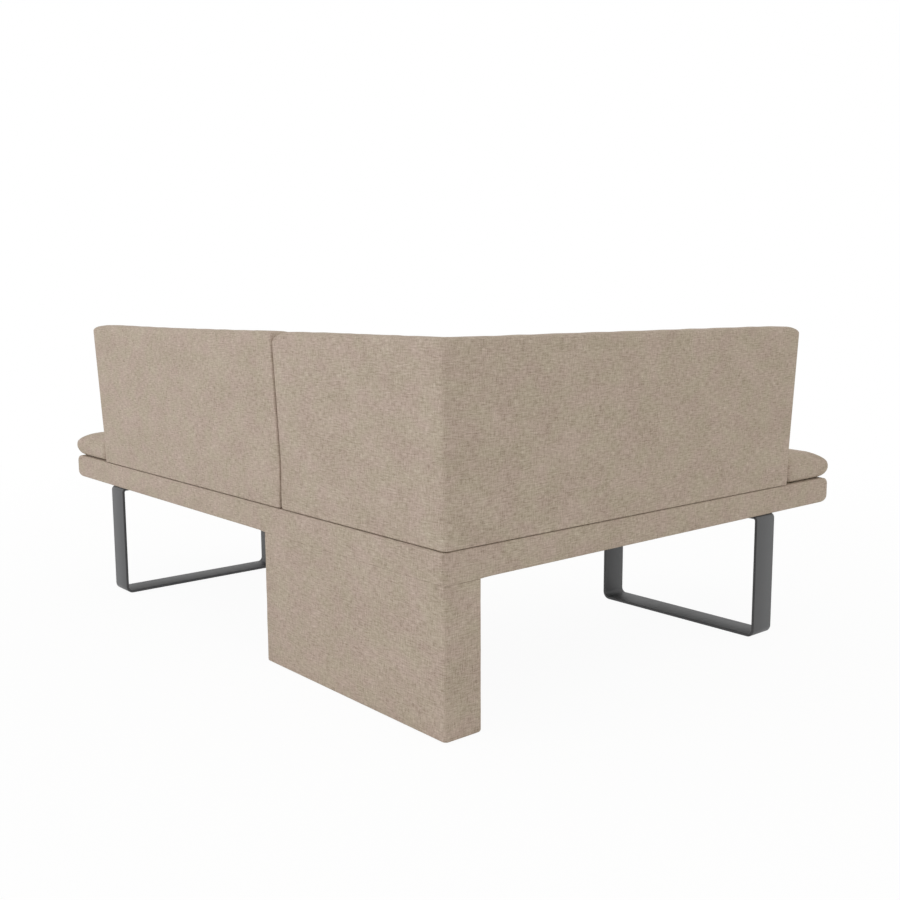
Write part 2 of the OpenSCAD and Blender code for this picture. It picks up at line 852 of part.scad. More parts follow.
module plinth_screw_bores() {
    for (y = plinth_screw_ys)
        translate([plinth_screw_x, y, base_z - plinth_board_t - overrun])
            cylinder(d = screw_d + screw_play * 2, h = plinth_screw_len + overrun + screw_play);
}

module plinth_side_boards() {
    color(ply_colour) place() for (x = [plinth_inset, plinth_t - plinth_inset - plinth_board_t])
        block([x, plinth_inset, plinth_board_z + plinth_board_t],
            [x + plinth_board_t, plinth_length - plinth_inset, base_z - plinth_board_t]);
}

module plinth_end_boards() {
    inset = plinth_inset + plinth_board_t;
    color(ply_colour) place() for (y = [plinth_inset, plinth_length - inset])
        block([inset, y, plinth_board_z + plinth_board_t],
            [plinth_t - inset, y + plinth_board_t, base_z - plinth_board_t]);
}

module plinth_top_board() {
    color(ply_colour) place() difference() {
        plinth_slab(plinth_inset, base_z - plinth_board_t, base_z);
        plinth_screw_bores();
    }
}

module plinth_bottom_board() {
    color(ply_colour) place() plinth_slab(plinth_inset, plinth_board_z, plinth_board_z + plinth_board_t);
}

// The wadding ends above the rounding of the lower edge, where the cover is pulled tight round the box
module plinth_wadding() {
    color(foam_colour) place() difference() {
        plinth_form(fabric_t, base_z);
        plinth_slab(plinth_inset, plinth_z, base_z + overrun);
        plinth_slab(0, 0, plinth_z + plinth_foot_r);
    }
}

module plinth_cover() {
    color(fabric_colour) place() difference() {
        plinth_form(0, base_z);
        plinth_form(fabric_t, base_z + overrun);
        plinth_slab(plinth_return, plinth_z - overrun, plinth_board_z + overrun);
    }
}

module plinth_screws() {
    color(zinc_colour) place() for (y = plinth_screw_ys)
        translate([plinth_screw_x, y, base_z - plinth_board_t])
            fastener(screw_d, plinth_screw_len, screw_head_d, screw_head_h);
}

module plinth_glides() {
    ys = spread(0, plinth_length, plinth_glide_count);
    color(glide_colour) place() for (x = [plinth_t / 3, plinth_t * 2 / 3]) for (y = ys)
        translate([x, y, 0]) cylinder(d = glide_d, h = plinth_board_z);
}

// Sleds
module loop_outline(inset) {
    r = sled_bend_r - inset;
    low = inset + r;
    front = sled_depth - inset - r;
    top = sled_h - inset - r;
    translate([low, inset]) square([front - low, sled_h - inset * 2]);
    translate([inset, low]) square([sled_depth - inset * 2, top - low]);
    for (x = [low, front]) for (y = [low, top]) translate([x, y]) circle(r);
}

// A sled under the long wing; the short wing's is the same piece turned
module sled(place_along) {
    difference() {
        translate([0, place_along + bar_w, glide_h]) rotate([90, 0, 0]) linear_extrude(bar_w) difference() {
            loop_outline(0);
            loop_outline(bar_t);
        }
        for (x = sled_bolt_depths) for (y = sled_bolt_sides)
            translate([x, place_along + y, base_z - bar_t - overrun])
                cylinder(d = bolt_d + bolt_play * 2, h = bar_t + overrun * 2);
    }
}

module long_wing_sled() {
    color(steel_colour) place() sled(long_sled_y);
}

module short_wing_sled() {
    color(steel_colour) place() along_y() sled(short_sled_x);
}

module at_sled_bolts(z) {
    for (x = sled_bolt_depths) for (y = sled_bolt_sides) {
        translate([x, long_sled_y + y, z]) children();
        translate([short_sled_x + y, x, z]) children();
    }
}

module sled_bolts() {
    color(zinc_colour) place() at_sled_bolts(base_z - bar_t)
        fastener(bolt_d, bar_t + fabric_t + insert_h - overrun, bolt_head_d, bolt_head_h);
}

module sled_insert_nuts() {
    color(zinc_colour) place() at_sled_bolts(rail_z) difference() {
        cylinder(d = insert_d, h = insert_h);
        translate([0, 0, -overrun]) cylinder(d = bolt_d + screw_play * 2, h = insert_h + overrun * 2);
    }
}

module sled_glides() {
    inset = sled_bend_r + glide_d;
    color(glide_colour) place() for (x = [inset, sled_depth - inset]) {
        translate([x, long_sled_y + bar_w / 2, 0]) cylinder(d = glide_d, h = glide_h);
        translate([short_sled_x + bar_w / 2, x, 0]) cylinder(d = glide_d, h = glide_h);
    }
}

short_wing_side_rails();
short_wing_cross_rails();
long_wing_side_rails();
long_wing_cross_rails();
sled_bearers();
short_wing_deck();
long_wing_deck();
base_edge_foam();
base_cover();
platform_cloth();
short_wing_lining();
long_wing_lining();
wing_joint_bolts();
wing_joint_nuts();
short_pad_board();
long_pad_board();
short_pad_foam();
long_pad_foam();
short_pad_cover();
long_pad_cover();
pad_screws();
corner_back_short_panel();
corner_back_long_panel();
long_back_panel();
corner_back_foam();
long_back_foam();
corner_back_cover();
long_back_cover();
corner_back_uprights();
long_back_uprights();
back_bolts();
back_screws();
plinth_side_boards();
plinth_end_boards();
plinth_top_board();
plinth_bottom_board();
plinth_wadding();
plinth_cover();
plinth_screws();
plinth_glides();
short_wing_sled();
long_wing_sled();
sled_bolts();
sled_insert_nuts();
sled_glides();
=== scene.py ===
# %% [markdown]
# # A corner dining bench, seen from behind its corner
#
# The bench is an L-shaped upholstered seat with two low backrests that lean out a little. It stands on a
# padded plinth behind the corner and on a loop of flat steel bar under each wing. The hard parts arrive
# ready made as a fixed frame. In this lesson we model the upholstery and the loops around that frame, give
# every surface its own procedural finish, and light the bench plainly on a white floor.

# %% Load the frame
import json
import math
from functools import partial

import bmesh
import bpy
import numpy as np
from mathutils import Matrix, Vector


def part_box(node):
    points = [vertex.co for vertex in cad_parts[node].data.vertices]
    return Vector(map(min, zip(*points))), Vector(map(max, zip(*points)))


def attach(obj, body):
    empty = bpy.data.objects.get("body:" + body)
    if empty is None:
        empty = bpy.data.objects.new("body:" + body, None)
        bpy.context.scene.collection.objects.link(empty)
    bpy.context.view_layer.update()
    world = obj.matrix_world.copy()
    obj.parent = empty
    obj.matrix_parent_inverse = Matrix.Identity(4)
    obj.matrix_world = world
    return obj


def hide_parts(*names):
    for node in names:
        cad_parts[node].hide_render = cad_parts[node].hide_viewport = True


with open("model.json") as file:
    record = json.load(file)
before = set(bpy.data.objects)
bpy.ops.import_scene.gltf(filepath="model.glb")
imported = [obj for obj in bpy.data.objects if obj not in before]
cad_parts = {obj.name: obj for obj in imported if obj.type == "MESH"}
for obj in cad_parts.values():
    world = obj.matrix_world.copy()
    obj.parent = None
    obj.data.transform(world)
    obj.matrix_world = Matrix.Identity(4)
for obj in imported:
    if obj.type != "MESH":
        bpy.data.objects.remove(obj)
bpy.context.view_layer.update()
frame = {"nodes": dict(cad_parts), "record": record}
scene = bpy.context.scene

# %% [markdown]
# ## Places and sizes
#
# The drawing's natural origin is the outer rear corner on the floor: X runs along the short wing and Y
# along the long wing. We read where that corner is from the frame, and keep every size as a named value
# in metres, so that a point of the bench can be written as at(x, y, z). The padding at the long wing's end
# and on the plinth's two inner sides stands a few millimetres fuller than the drawing, as in the photo.

# %% Sizes
base_low, base_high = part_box("base_cover")
corner_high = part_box("corner_back_cover")[1]
long_low, long_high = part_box("long_back_cover")
plinth_low, plinth_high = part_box("plinth_cover")
ORIGIN = Vector((base_low.x, base_low.y, 0))
LONG_END_PADDING, PLINTH_PADDING = 0.007, 0.005


def at(x, y, z):
    """A point measured from the outer rear corner."""
    return ORIGIN + Vector((x, y, z))


SHORT_WING = base_high.x - base_low.x
LONG_WING = base_high.y - base_low.y + LONG_END_PADDING
BASE_Z, BASE_TOP, BACK_TOP = base_low.z, base_high.z, corner_high.z
DEPTH = (corner_high.y + long_low.y) / 2 - ORIGIN.y
SHORT_BACK_END = corner_high.x - ORIGIN.x
LONG_BACK_END = long_high.y - ORIGIN.y
PLINTH_T = plinth_high.x - ORIGIN.x + PLINTH_PADDING
PLINTH_LENGTH = plinth_high.y - ORIGIN.y + PLINTH_PADDING
BACK_T = 0.075
SOFT_GAP = 0.0006
print(f"wings {SHORT_WING:.3f} and {LONG_WING:.3f}, {DEPTH:.3f} deep, base from {BASE_Z:.3f} to",
      f"{BASE_TOP:.3f}, plinth {PLINTH_LENGTH:.4f} by {PLINTH_T:.4f}")

# %% [markdown]
# ## The camera
#
# The photographer stood behind the corner, a little above the backrests. The view's direction, its roll and
# the lens were worked out from the bench's own straight edges. We set them first.

# %% The camera
CAMERA_PLACE = at(-1.4027, -1.6775, 0.9277)
CAMERA_YAW, CAMERA_PITCH, CAMERA_ROLL = math.radians(49.759), math.radians(-7.906), math.radians(-0.262)
FOCAL_PX, PHOTO_PX, SENSOR_MM = 1096.3, 900, 36

level = Vector((math.cos(CAMERA_YAW), math.sin(CAMERA_YAW), 0))
ahead = level * math.cos(CAMERA_PITCH) + Vector((0, 0, math.sin(CAMERA_PITCH)))
right = ahead.cross(Vector((0, 0, 1))).normalized()
above = right.cross(ahead)
rolled_right = right * math.cos(CAMERA_ROLL) + above * math.sin(CAMERA_ROLL)
rolled_above = above * math.cos(CAMERA_ROLL) - right * math.sin(CAMERA_ROLL)

bpy.ops.object.select_all(action="DESELECT")
bpy.ops.object.camera_add(location=CAMERA_PLACE)
camera = bpy.context.object
camera.name = "camera"
camera.rotation_euler = Matrix((rolled_right, rolled_above, -ahead)).transposed().to_euler()
camera.data.sensor_width = SENSOR_MM
camera.data.lens = SENSOR_MM * FOCAL_PX / PHOTO_PX
scene.camera = camera
print(f"the lens is {camera.data.lens:.2f} mm long")

# %% [markdown]
# ## Helpers for modelling by hand
#
# Blender's operators act on what is selected, so each helper starts by deselecting everything. Edges and
# faces are then picked in code, by their place or by the way they face. The tests get places measured from
# the outer rear corner, which keeps them readable.

# %% Helpers that pick
NEAR, FACING, FLAT = 0.0002, 0.9, 0.999


def choose(piece):
    """Makes a piece the only one that the next operators act on."""
    bpy.ops.object.select_all(action="DESELECT")
    piece.select_set(True)
    bpy.context.view_layer.objects.active = piece


def start_edit(piece, mode="FACE"):
    """Opens a piece in edit mode with nothing selected."""
    if bpy.context.mode != "OBJECT":
        bpy.ops.object.mode_set(mode="OBJECT")
    choose(piece)
    bpy.ops.object.mode_set(mode="EDIT")
    bpy.ops.mesh.select_mode(type=mode)
    bpy.ops.mesh.select_all(action="DESELECT")


def end_edit():
    bpy.ops.object.mode_set(mode="OBJECT")


def pick(piece, mode, test):
    """Selects the faces or the edges that pass a test."""
    start_edit(piece, mode)
    mesh = bmesh.from_edit_mesh(piece.data)
    found = [item for item in (mesh.faces if mode == "FACE" else mesh.edges) if test(item)]
    for item in found:
        item.select_set(True)
    bmesh.update_edit_mesh(piece.data)


def pick_faces(piece, test):
    """Selects the faces whose centre and normal pass a test."""
    pick(piece, "FACE", lambda face: test(face.calc_center_median() - ORIGIN, face.normal))


def pick_edges(piece, test):
    """Selects the edges whose two ends pass a test."""
    pick(piece, "EDGE", lambda edge: test(edge.verts[0].co - ORIGIN, edge.verts[1].co - ORIGIN))


# %% Helpers that shape
def block(name, low, high):
    """A box between two points, with its place in its mesh."""
    bpy.ops.object.select_all(action="DESELECT")
    bpy.ops.mesh.primitive_cube_add(size=1, location=(low + high) / 2, scale=high - low)
    piece = bpy.context.object
    piece.name = piece.data.name = name
    bpy.ops.object.transform_apply(location=True, rotation=True, scale=True)
    return piece


def grow(piece, corner, normal, test, move):
    """Cuts a block through a point, and pulls out the faces that pass a test."""
    start_edit(piece)
    bpy.ops.mesh.select_all(action="SELECT")
    bpy.ops.mesh.bisect(plane_co=corner, plane_no=normal)
    pick_faces(piece, test)
    bpy.ops.mesh.extrude_region_move(TRANSFORM_OT_translate={"value": move})
    bpy.ops.mesh.select_all(action="SELECT")
    bpy.ops.mesh.dissolve_limited(angle_limit=math.radians(1))
    end_edit()


def round_edges(piece, test, radius, segments):
    """Rounds the edges whose ends pass a test."""
    pick_edges(piece, test)
    bpy.ops.mesh.bevel(offset=radius, offset_type="OFFSET", segments=segments, profile=0.5, affect="EDGES",
                       clamp_overlap=False)
    end_edit()


def at_height(z):
    """A test for the level outline of a piece that isn't cut yet."""
    return lambda a, b: abs(a.z - z) < NEAR and abs(b.z - z) < NEAR


def at_mitre(x, y, way_x, way_y, reach):
    """A test for the upright edge at a corner of the plan and the mitre that goes on from it."""
    def test(*ends):
        for end in ends:
            inward_x, inward_y = (end.x - x) * way_x, (end.y - y) * way_y
            if abs(inward_x - inward_y) > NEAR or not -NEAR < inward_x < reach + NEAR:
                return False
        return True
    return test


def read(items, name, width=3, kind=float):
    """A property of a mesh's points, faces or loops as an array, with a row for each."""
    values = np.empty(len(items) * width, kind)
    items.foreach_get(name, values)
    return values.reshape(-1, width)


def get_points(piece):
    return read(piece.data.vertices, "co") - np.array(ORIGIN)


def set_points(piece, places):
    piece.data.vertices.foreach_set("co", (places + np.array(ORIGIN)).ravel())
    piece.data.update()


def get_normals(piece):
    return read(piece.data.vertices, "normal")


def apply_modifiers(piece):
    choose(piece)
    for modifier in list(piece.modifiers):
        bpy.ops.object.modifier_apply(modifier=modifier.name)


def fade(values, start, end):
    """0 up to start, 1 from end on, and a smooth step between them."""
    share = np.clip((values - start) / (end - start), 0, 1)
    return share * share * (3 - 2 * share)


def around(values, place, full, none):
    """1 as far as full from a place, 0 from none on, and a smooth step between them."""
    return 1 - fade(np.abs(values - place), full, none)


def inset(run, rise):
    """Insets the picked faces by a run, and moves them along their normals by a rise."""
    bpy.ops.mesh.inset(thickness=run, depth=rise, use_even_offset=True)


# %% [markdown]
# ## Cutting a piece into a fine grid
#
# Padding only bends where its mesh has points. Straight cuts at even steps turn each big face into small
# squares and leave the rounded edges exact, which a voxel remesh would blur. The cuts stay out of the
# rounded zones, because there the bevel has made points already and slivers would show as creases.

# %% A grid of cuts
MERGE, MARGIN = 0.0003, 0.001


def cut_across(axis, place):
    """One straight cut through the piece in edit mode, at a place along an axis."""
    point, normal = list(ORIGIN), [0, 0, 0]
    point[axis] += place
    normal[axis] = 1
    bpy.ops.mesh.select_all(action="SELECT")
    bpy.ops.mesh.bisect(plane_co=point, plane_no=normal)


def cut_grid(piece, steps, keep_out, extra=()):
    """Cuts at even steps outside the zones, each a centre and its reach, and at extra (axis, place)s."""
    places = get_points(piece)
    low, high = places.min(0), places.max(0)
    start_edit(piece)
    for axis, step in enumerate(steps):
        if not step:
            continue
        span = high[axis] - low[axis]
        count = max(2, round(span / step))
        for k in range(1, count):
            place = low[axis] + span * k / count
            if any(abs(place - centre) < reach for centre, reach in keep_out[axis]):
                continue
            cut_across(axis, place)
    for axis, place in extra:
        cut_across(axis, place)
    bpy.ops.mesh.select_all(action="SELECT")
    bpy.ops.mesh.remove_doubles(threshold=MERGE)
    end_edit()
    print(f"{piece.name} has {len(piece.data.polygons)} faces after its cuts")


# %% [markdown]
# ## Letting padding swell
#
# Foam under fabric is never quite flat: it swells between the places where the fabric is held. Blender's
# cloth does this well. The piece first shrinks a little, air pressure pushes it out, and each point may
# move only as far as a small cap. Where the cover is stapled down, or presses on its neighbour, it's held.
# The pressure draws the corners in a little, so the piece is stretched back to its own box at the end.

# %% Swelling with cloth
AIR_PRESSURE, SWELL_FRAMES, FIRST_SHRINK = 4.0, 20, 0.6


def swell(piece, held, cap):
    """Blows a piece up from a slightly smaller shape. held is 1 where a point may not move."""
    rest = get_points(piece)
    free = 1 - np.clip(held(rest), 0, 1)[:, None]
    small = rest - get_normals(piece) * cap * FIRST_SHRINK * free
    set_points(piece, small)
    group = piece.vertex_groups.new(name="held")
    group.add([int(index) for index in np.nonzero(free[:, 0] < 0.5)[0]], 1.0, "REPLACE")
    cloth = piece.modifiers.new("swelling", "CLOTH")
    settings = cloth.settings
    settings.vertex_group_mass = group.name
    settings.use_pressure = True
    settings.uniform_pressure_force = AIR_PRESSURE
    settings.effector_weights.gravity = 0
    cloth.collision_settings.use_collision = False
    cloth.point_cache.frame_start, cloth.point_cache.frame_end = 1, SWELL_FRAMES
    for number in range(1, SWELL_FRAMES + 1):
        scene.frame_set(number)
    blown_piece = piece.evaluated_get(bpy.context.evaluated_depsgraph_get())
    blown = read(blown_piece.to_mesh().vertices, "co") - np.array(ORIGIN)
    blown_piece.to_mesh_clear()
    piece.modifiers.remove(cloth)
    piece.vertex_groups.clear()
    scene.frame_set(1)
    moved = blown - small
    length = np.linalg.norm(moved, axis=1, keepdims=True) + 1e-9
    capped = moved / length * cap * np.tanh(length / cap) * free
    swelled = small + capped
    low, high, low_now, high_now = rest.min(0), rest.max(0), swelled.min(0), swelled.max(0)
    fitted = low + (swelled - low_now) * (high - low) / (high_now - low_now)
    set_points(piece, swelled + (fitted - swelled) * free)
    print(f"{piece.name} swelled by up to {np.linalg.norm(capped, axis=1).max() * 1000:.1f} mm")


# %% [markdown]
# ## Soft unevenness
#
# Upholstery also has small hollows and rises from one hand's width to the next. A few crossed sine waves
# with odd lengths do this smoothly and give the same result each time. They fade out where a piece meets
# its neighbour.

# %% Unevenness
def ripple(piece, height, length, held):
    """Moves the points along their normals by a soft, uneven pattern, where they aren't held."""
    places, normals = get_points(piece), get_normals(piece)
    x, y, z = (places * 2 * math.pi / length).T
    wave = (np.sin(x + y * 0.63 + 1.3) * np.sin(z * 1.17 - y * 0.41 + 0.4)
            + 0.6 * np.sin(y * 1.31 - x * 0.57 + 2.1) * np.sin(z * 0.71 + x * 0.83)
            + 0.4 * np.sin(x * 2.30 + 0.7) * np.sin(y * 2.10 + z * 1.90))
    set_points(piece, places + normals * (wave * (1 - held(places)) * height)[:, None])


# %% [markdown]
# Where the fabric is folded round a corner or stapled, short folds stay in it. Each one is a soft ridge or
# hollow along a line between two points.

# %% Folds
def add_folds(piece, folds):
    """Raises the points near each (start, end, width, height) line along their normals."""
    places, normals = get_points(piece), get_normals(piece)
    moved = places.copy()
    for start, end, width, height in folds:
        start, way = np.array(start), np.array(end) - np.array(start)
        share = np.clip((places - start) @ way / (way @ way), 0, 1)
        away = np.linalg.norm(places - start - share[:, None] * way, axis=1)
        moved += normals * (height * np.exp(-(away / width) ** 2))[:, None]
    set_points(piece, moved)


def even_cuts(axis, start, end, step):
    """A list of extra cuts for the grid, between two places."""
    return [(axis, place) for place in np.arange(start, end, step)]


# %% [markdown]
# ## Laying the cloth
#
# The weave has to run level and upright on every side and turn the corners without a jump, as one wide
# cloth does. So each piece gets a UV map in metres: along a side u is x - y, which is the distance round
# the corner on either wing, and v is the height. On a top, v goes on past the edge into the depth.

# %% UV maps in metres
LEVEL_FACING, SMOOTH_ANGLE = 0.75, math.radians(60)


def lay_cloth(piece, top_z):
    """Writes the UV map that the weave follows, and shades the piece smoothly."""
    mesh = piece.data
    for old in list(mesh.uv_layers):
        mesh.uv_layers.remove(old)
    layer = mesh.uv_layers.new(name="cloth")
    corners = read(mesh.loops, "vertex_index", 1, int)[:, 0]
    totals = read(mesh.polygons, "loop_total", 1, int)[:, 0]
    centres = read(mesh.polygons, "center") - np.array(ORIGIN)
    level_face = np.repeat(np.abs(read(mesh.polygons, "normal")[:, 2]) > LEVEL_FACING, totals)
    short_side = np.repeat(centres[:, 1] < centres[:, 0], totals)
    x, y, z = get_points(piece)[corners].T
    u = np.where(level_face, np.where(short_side, x, -y), x - y)
    v = np.where(level_face, np.where(short_side, top_z + y, top_z + x), z)
    layer.data.foreach_set("uv", np.stack([u, v], 1).ravel())
    choose(piece)
    bpy.ops.object.shade_smooth_by_angle(angle=SMOOTH_ANGLE)


# %% [markdown]
# ## Colours and nodes
#
# A colour is easiest to name as it shows on a screen, and a shader wants it as light. One small formula
# turns the first into the second. The other helpers add the nodes that most finishes share. They feed a
# socket with a plain value or with another node's output.

# %% Colours and nodes
def screen(red, green, blue):
    """A colour that shows as these values from 0 to 255, as the shader wants it."""
    def light(value):
        share = value / 255
        return share / 12.92 if share <= 0.04045 else ((share + 0.055) / 1.055) ** 2.4
    return light(red), light(green), light(blue), 1.0


def feed(value, socket):
    """Gives a socket a value, or links another node's output to it."""
    if isinstance(value, bpy.types.NodeSocket):
        socket.id_data.links.new(value, socket)
    else:
        socket.default_value = value


def feed_all(node, inputs):
    """Feeds a node's inputs by name. An underscore in a name stands for a space."""
    for name, value in inputs.items():
        feed(value, node.inputs[name.replace("_", " ")])


def add_node(tree, kind, settings=None, **inputs):
    """A node with its settings and its inputs."""
    node = tree.nodes.new(kind)
    for name, value in (settings or {}).items():
        setattr(node, name, value)
    feed_all(node, inputs)
    return node


def calculate(tree, operation, *values):
    """The result of one step of maths on values or outputs."""
    node = add_node(tree, "ShaderNodeMath", {"operation": operation})
    for value, socket in zip(values, node.inputs):
        feed(value, socket)
    return node.outputs[0]


def colour_ramp(tree, value, stops):
    """Turns a value into a colour between stops, each a place and a screen colour."""
    node = tree.nodes.new("ShaderNodeValToRGB")
    elements = node.color_ramp.elements
    while len(elements) < len(stops):
        elements.new(1.0)
    for element, (place, colour) in zip(elements, stops):
        element.position = place
        element.color = screen(*colour)
    feed(value, node.inputs[0])
    return node.outputs[0]


def multiply_colours(tree, first, second, share):
    """Multiplies the first colour by the second, as far as the share says."""
    mix = add_node(tree, "ShaderNodeMix", {"data_type": "RGBA", "blend_type": "MULTIPLY"})
    for place, value in ((0, share), (6, first), (7, second)):
        feed(value, mix.inputs[place])
    return mix.outputs[2]


def new_material(name, **inputs):
    """A material, its tree and its shader, whose inputs are given by name."""
    material = bpy.data.materials.new(name)
    material.use_nodes = True
    shader = material.node_tree.nodes["Principled BSDF"]
    feed_all(shader, inputs)
    return material, material.node_tree, shader


def finish_surface(tree, shader, colour, height, strength, distance):
    """Gives a shader its colour, and the relief that a height makes."""
    relief = add_node(tree, "ShaderNodeBump", Strength=strength, Distance=distance, Height=height)
    feed_all(shader, {"Base Color": colour, "Normal": relief.outputs[0]})


# %% [markdown]
# ## The weave
#
# The fabric is a flat weave of mixed yarns, beige with sand and taupe threads, and here and there a thick
# or a dark thread shows as a short dash, level or upright. The group draws both sets of threads from the UV
# map: which thread lies on top at each crossing, how light each thread is along its length, and the height
# for the bump. Dashes, a fine grain and broad patches come on top. Only values leave the group, and the
# shader stays in the material.

# %% The weave group
THREADS_PER_M = 620.0
SLOWLY, PER_THREAD = 42.0, 0.61
LEVEL_DASHES, UPRIGHT_DASHES = (52.0, 330.0, 3.0, 2.0), (360.0, 64.0, 5.0, 2.0)
GRAIN, PATCHES, TINTS = (520.0, 520.0, 13.0, 2.0), (9.0, 11.0, 17.0, 2.0), (15.0, 19.0, 11.0, 1.0)


def weave_group():
    """A group from a place on the cloth to its shade, its warmth and its height."""
    group = bpy.data.node_groups.new("mixed weave", "ShaderNodeTree")
    for name, way, kind in (("Place", "INPUT", "Vector"), ("Contrast", "INPUT", "Float"),
                            ("Shade", "OUTPUT", "Float"), ("Warmth", "OUTPUT", "Float"),
                            ("Height", "OUTPUT", "Float")):
        group.interface.new_socket(name, in_out=way, socket_type="NodeSocket" + kind)
    entry, leave = group.nodes.new("NodeGroupInput"), group.nodes.new("NodeGroupOutput")
    maths = partial(calculate, group)

    def cloudy(u_scale, v_scale, layer, detail=1.0, columns=None, rows=None):
        """Noise from -0.5 to 0.5, stretched along the cloth, in a layer of its own."""
        where = add_node(group, "ShaderNodeCombineXYZ", X=maths("MULTIPLY", columns or u, u_scale),
                         Y=maths("MULTIPLY", rows or v, v_scale), Z=layer)
        noise = add_node(group, "ShaderNodeTexNoise", Scale=1.0, Detail=detail, Roughness=0.55,
                         Vector=where.outputs[0])
        return maths("SUBTRACT", noise.outputs["Fac"], 0.5)

    def add_up(*parts):
        """The sum of values, each times its weight."""
        total = 0.0
        for value, weight in parts:
            total = maths("MULTIPLY_ADD", value, weight, total)
        return total

    split = add_node(group, "ShaderNodeSeparateXYZ", Vector=entry.outputs["Place"])
    u, v = split.outputs[0], split.outputs[1]
    across, up = maths("MULTIPLY", u, THREADS_PER_M), maths("MULTIPLY", v, THREADS_PER_M)
    crossing = maths("MULTIPLY", maths("SINE", maths("MULTIPLY", across, math.pi)),
                     maths("SINE", maths("MULTIPLY", up, math.pi)))
    upright_on_top = maths("MINIMUM", maths("MAXIMUM", maths("MULTIPLY_ADD", crossing, 3.0, 0.5), 0.0), 1.0)
    upright_thread = cloudy(PER_THREAD, SLOWLY, 1.0, columns=maths("FLOOR", across))
    level_thread = cloudy(SLOWLY, PER_THREAD, 7.0, rows=maths("FLOOR", up))
    thread = add_up((upright_thread, upright_on_top), (level_thread, maths("SUBTRACT", 1.0, upright_on_top)))
    dashes = add_up((cloudy(*LEVEL_DASHES), 1.05), (cloudy(*UPRIGHT_DASHES), 0.9))
    shade = add_up((thread, 1.0), (dashes, 1.25), (cloudy(*GRAIN), 1.1), (cloudy(*PATCHES), 0.4))
    feed_all(leave, {"Shade": maths("MULTIPLY_ADD", shade, entry.outputs["Contrast"], 0.5),
                     "Warmth": maths("ADD", cloudy(*TINTS), 0.5),
                     "Height": add_up((maths("ABSOLUTE", crossing), 0.5), (dashes, 1.2), (thread, 1.0))})
    return group


WEAVE = weave_group()
print("the weave has", len(WEAVE.nodes), "nodes")

# %% [markdown]
# ## The fabric
#
# Threads on top catch the light and the hollows between them keep some shadow, so the shade goes through a
# ramp from taupe to sand. Warmth tints broad patches a little warmer or cooler. A little sheen stands for
# the fine hairs of the yarn.

# %% The fabric
def upholstery_fabric():
    """The beige weave, from the UV map in metres."""
    material, tree, shader = new_material(
        "mixed_beige_weave", Roughness=0.92, Specular_IOR_Level=0.2, Sheen_Weight=0.10, Sheen_Roughness=0.5,
        Sheen_Tint=screen(235, 225, 210))
    cloth = add_node(tree, "ShaderNodeUVMap", {"uv_map": "cloth"})
    weave = add_node(tree, "ShaderNodeGroup", {"node_tree": WEAVE}, Place=cloth.outputs[0], Contrast=0.475)
    shade = colour_ramp(tree, weave.outputs["Shade"], (
        (0.1, (126, 110, 98)), (0.35, (172, 156, 142)), (0.5, (190, 174, 160)), (0.65, (204, 189, 176)),
        (0.9, (226, 214, 203))))
    tint = colour_ramp(tree, weave.outputs["Warmth"], ((0.35, (251, 254, 248)), (0.65, (254, 251, 252))))
    colour = multiply_colours(tree, shade, tint, 1.0)
    finish_surface(tree, shader, colour, weave.outputs["Height"], 0.25, 0.0006)
    return material


FABRIC = upholstery_fabric()


def dress(piece, material, slot, *nodes):
    """Gives a finished piece its material and hides the nodes that it stands for."""
    piece.data.materials.clear()
    piece.data.materials.append(material)
    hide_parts(*nodes)
    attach(piece, "root")
    triangles = sum(len(p.vertices) - 2 for p in piece.data.polygons)
    print(f"{piece.name} is finished with {triangles} triangles")


def upholster(piece, nodes, held, top_z, swelling, ripple_height, ripple_run, folds=()):
    """Swells and ripples a cut piece where it isn't held, adds its folds and dresses it in the fabric."""
    if swelling:
        swell(piece, held, swelling)
    ripple(piece, ripple_height, ripple_run, held)
    if folds:
        add_folds(piece, folds)
    lay_cloth(piece, top_z)
    dress(piece, FABRIC, "upholstery", *nodes)


# %% [markdown]
# ## The base
#
# One upholstered band runs round the whole L. Its free ends and front edges are soft, and its rear edges
# are crisper, because the fabric is pulled tight there. Over the plinth the lower edge is crisper still.
# A block becomes an L, its level edges and then its corners are rounded all alike, and a last move squeezes
# the rounding where the cloth is tight. Underneath, the turned-in fabric ends a thumb's breadth in, at a
# shallow step that the lining lies in.

# %% The base's block
BASE_ROUND, BASE_CORNER = 0.018, 0.020
REAR_SHARE, REAR_REACH = 0.35, 0.027
COVER_RETURN, COVER_STEP, STEP_WALL = 0.0275, 0.0015, 0.0004
CORNER_FOLD, FOLD_RUN, FOLD_START = 0.010, 0.06, 0.01
FOLD_LOW, FOLD_TOP, FOLD_EASED = (0.004, 0.022), (0.004, 0.020), 0.55


def squeeze(depth, width, share, reach):
    """Brings a rounding of a width down to a share of it, and lets the flat next to it follow."""
    inner = share * width
    eased = inner + (depth - width) * (reach - inner) / (reach - width)
    return np.where(depth < width, depth * share, np.where(depth < reach, eased, depth))


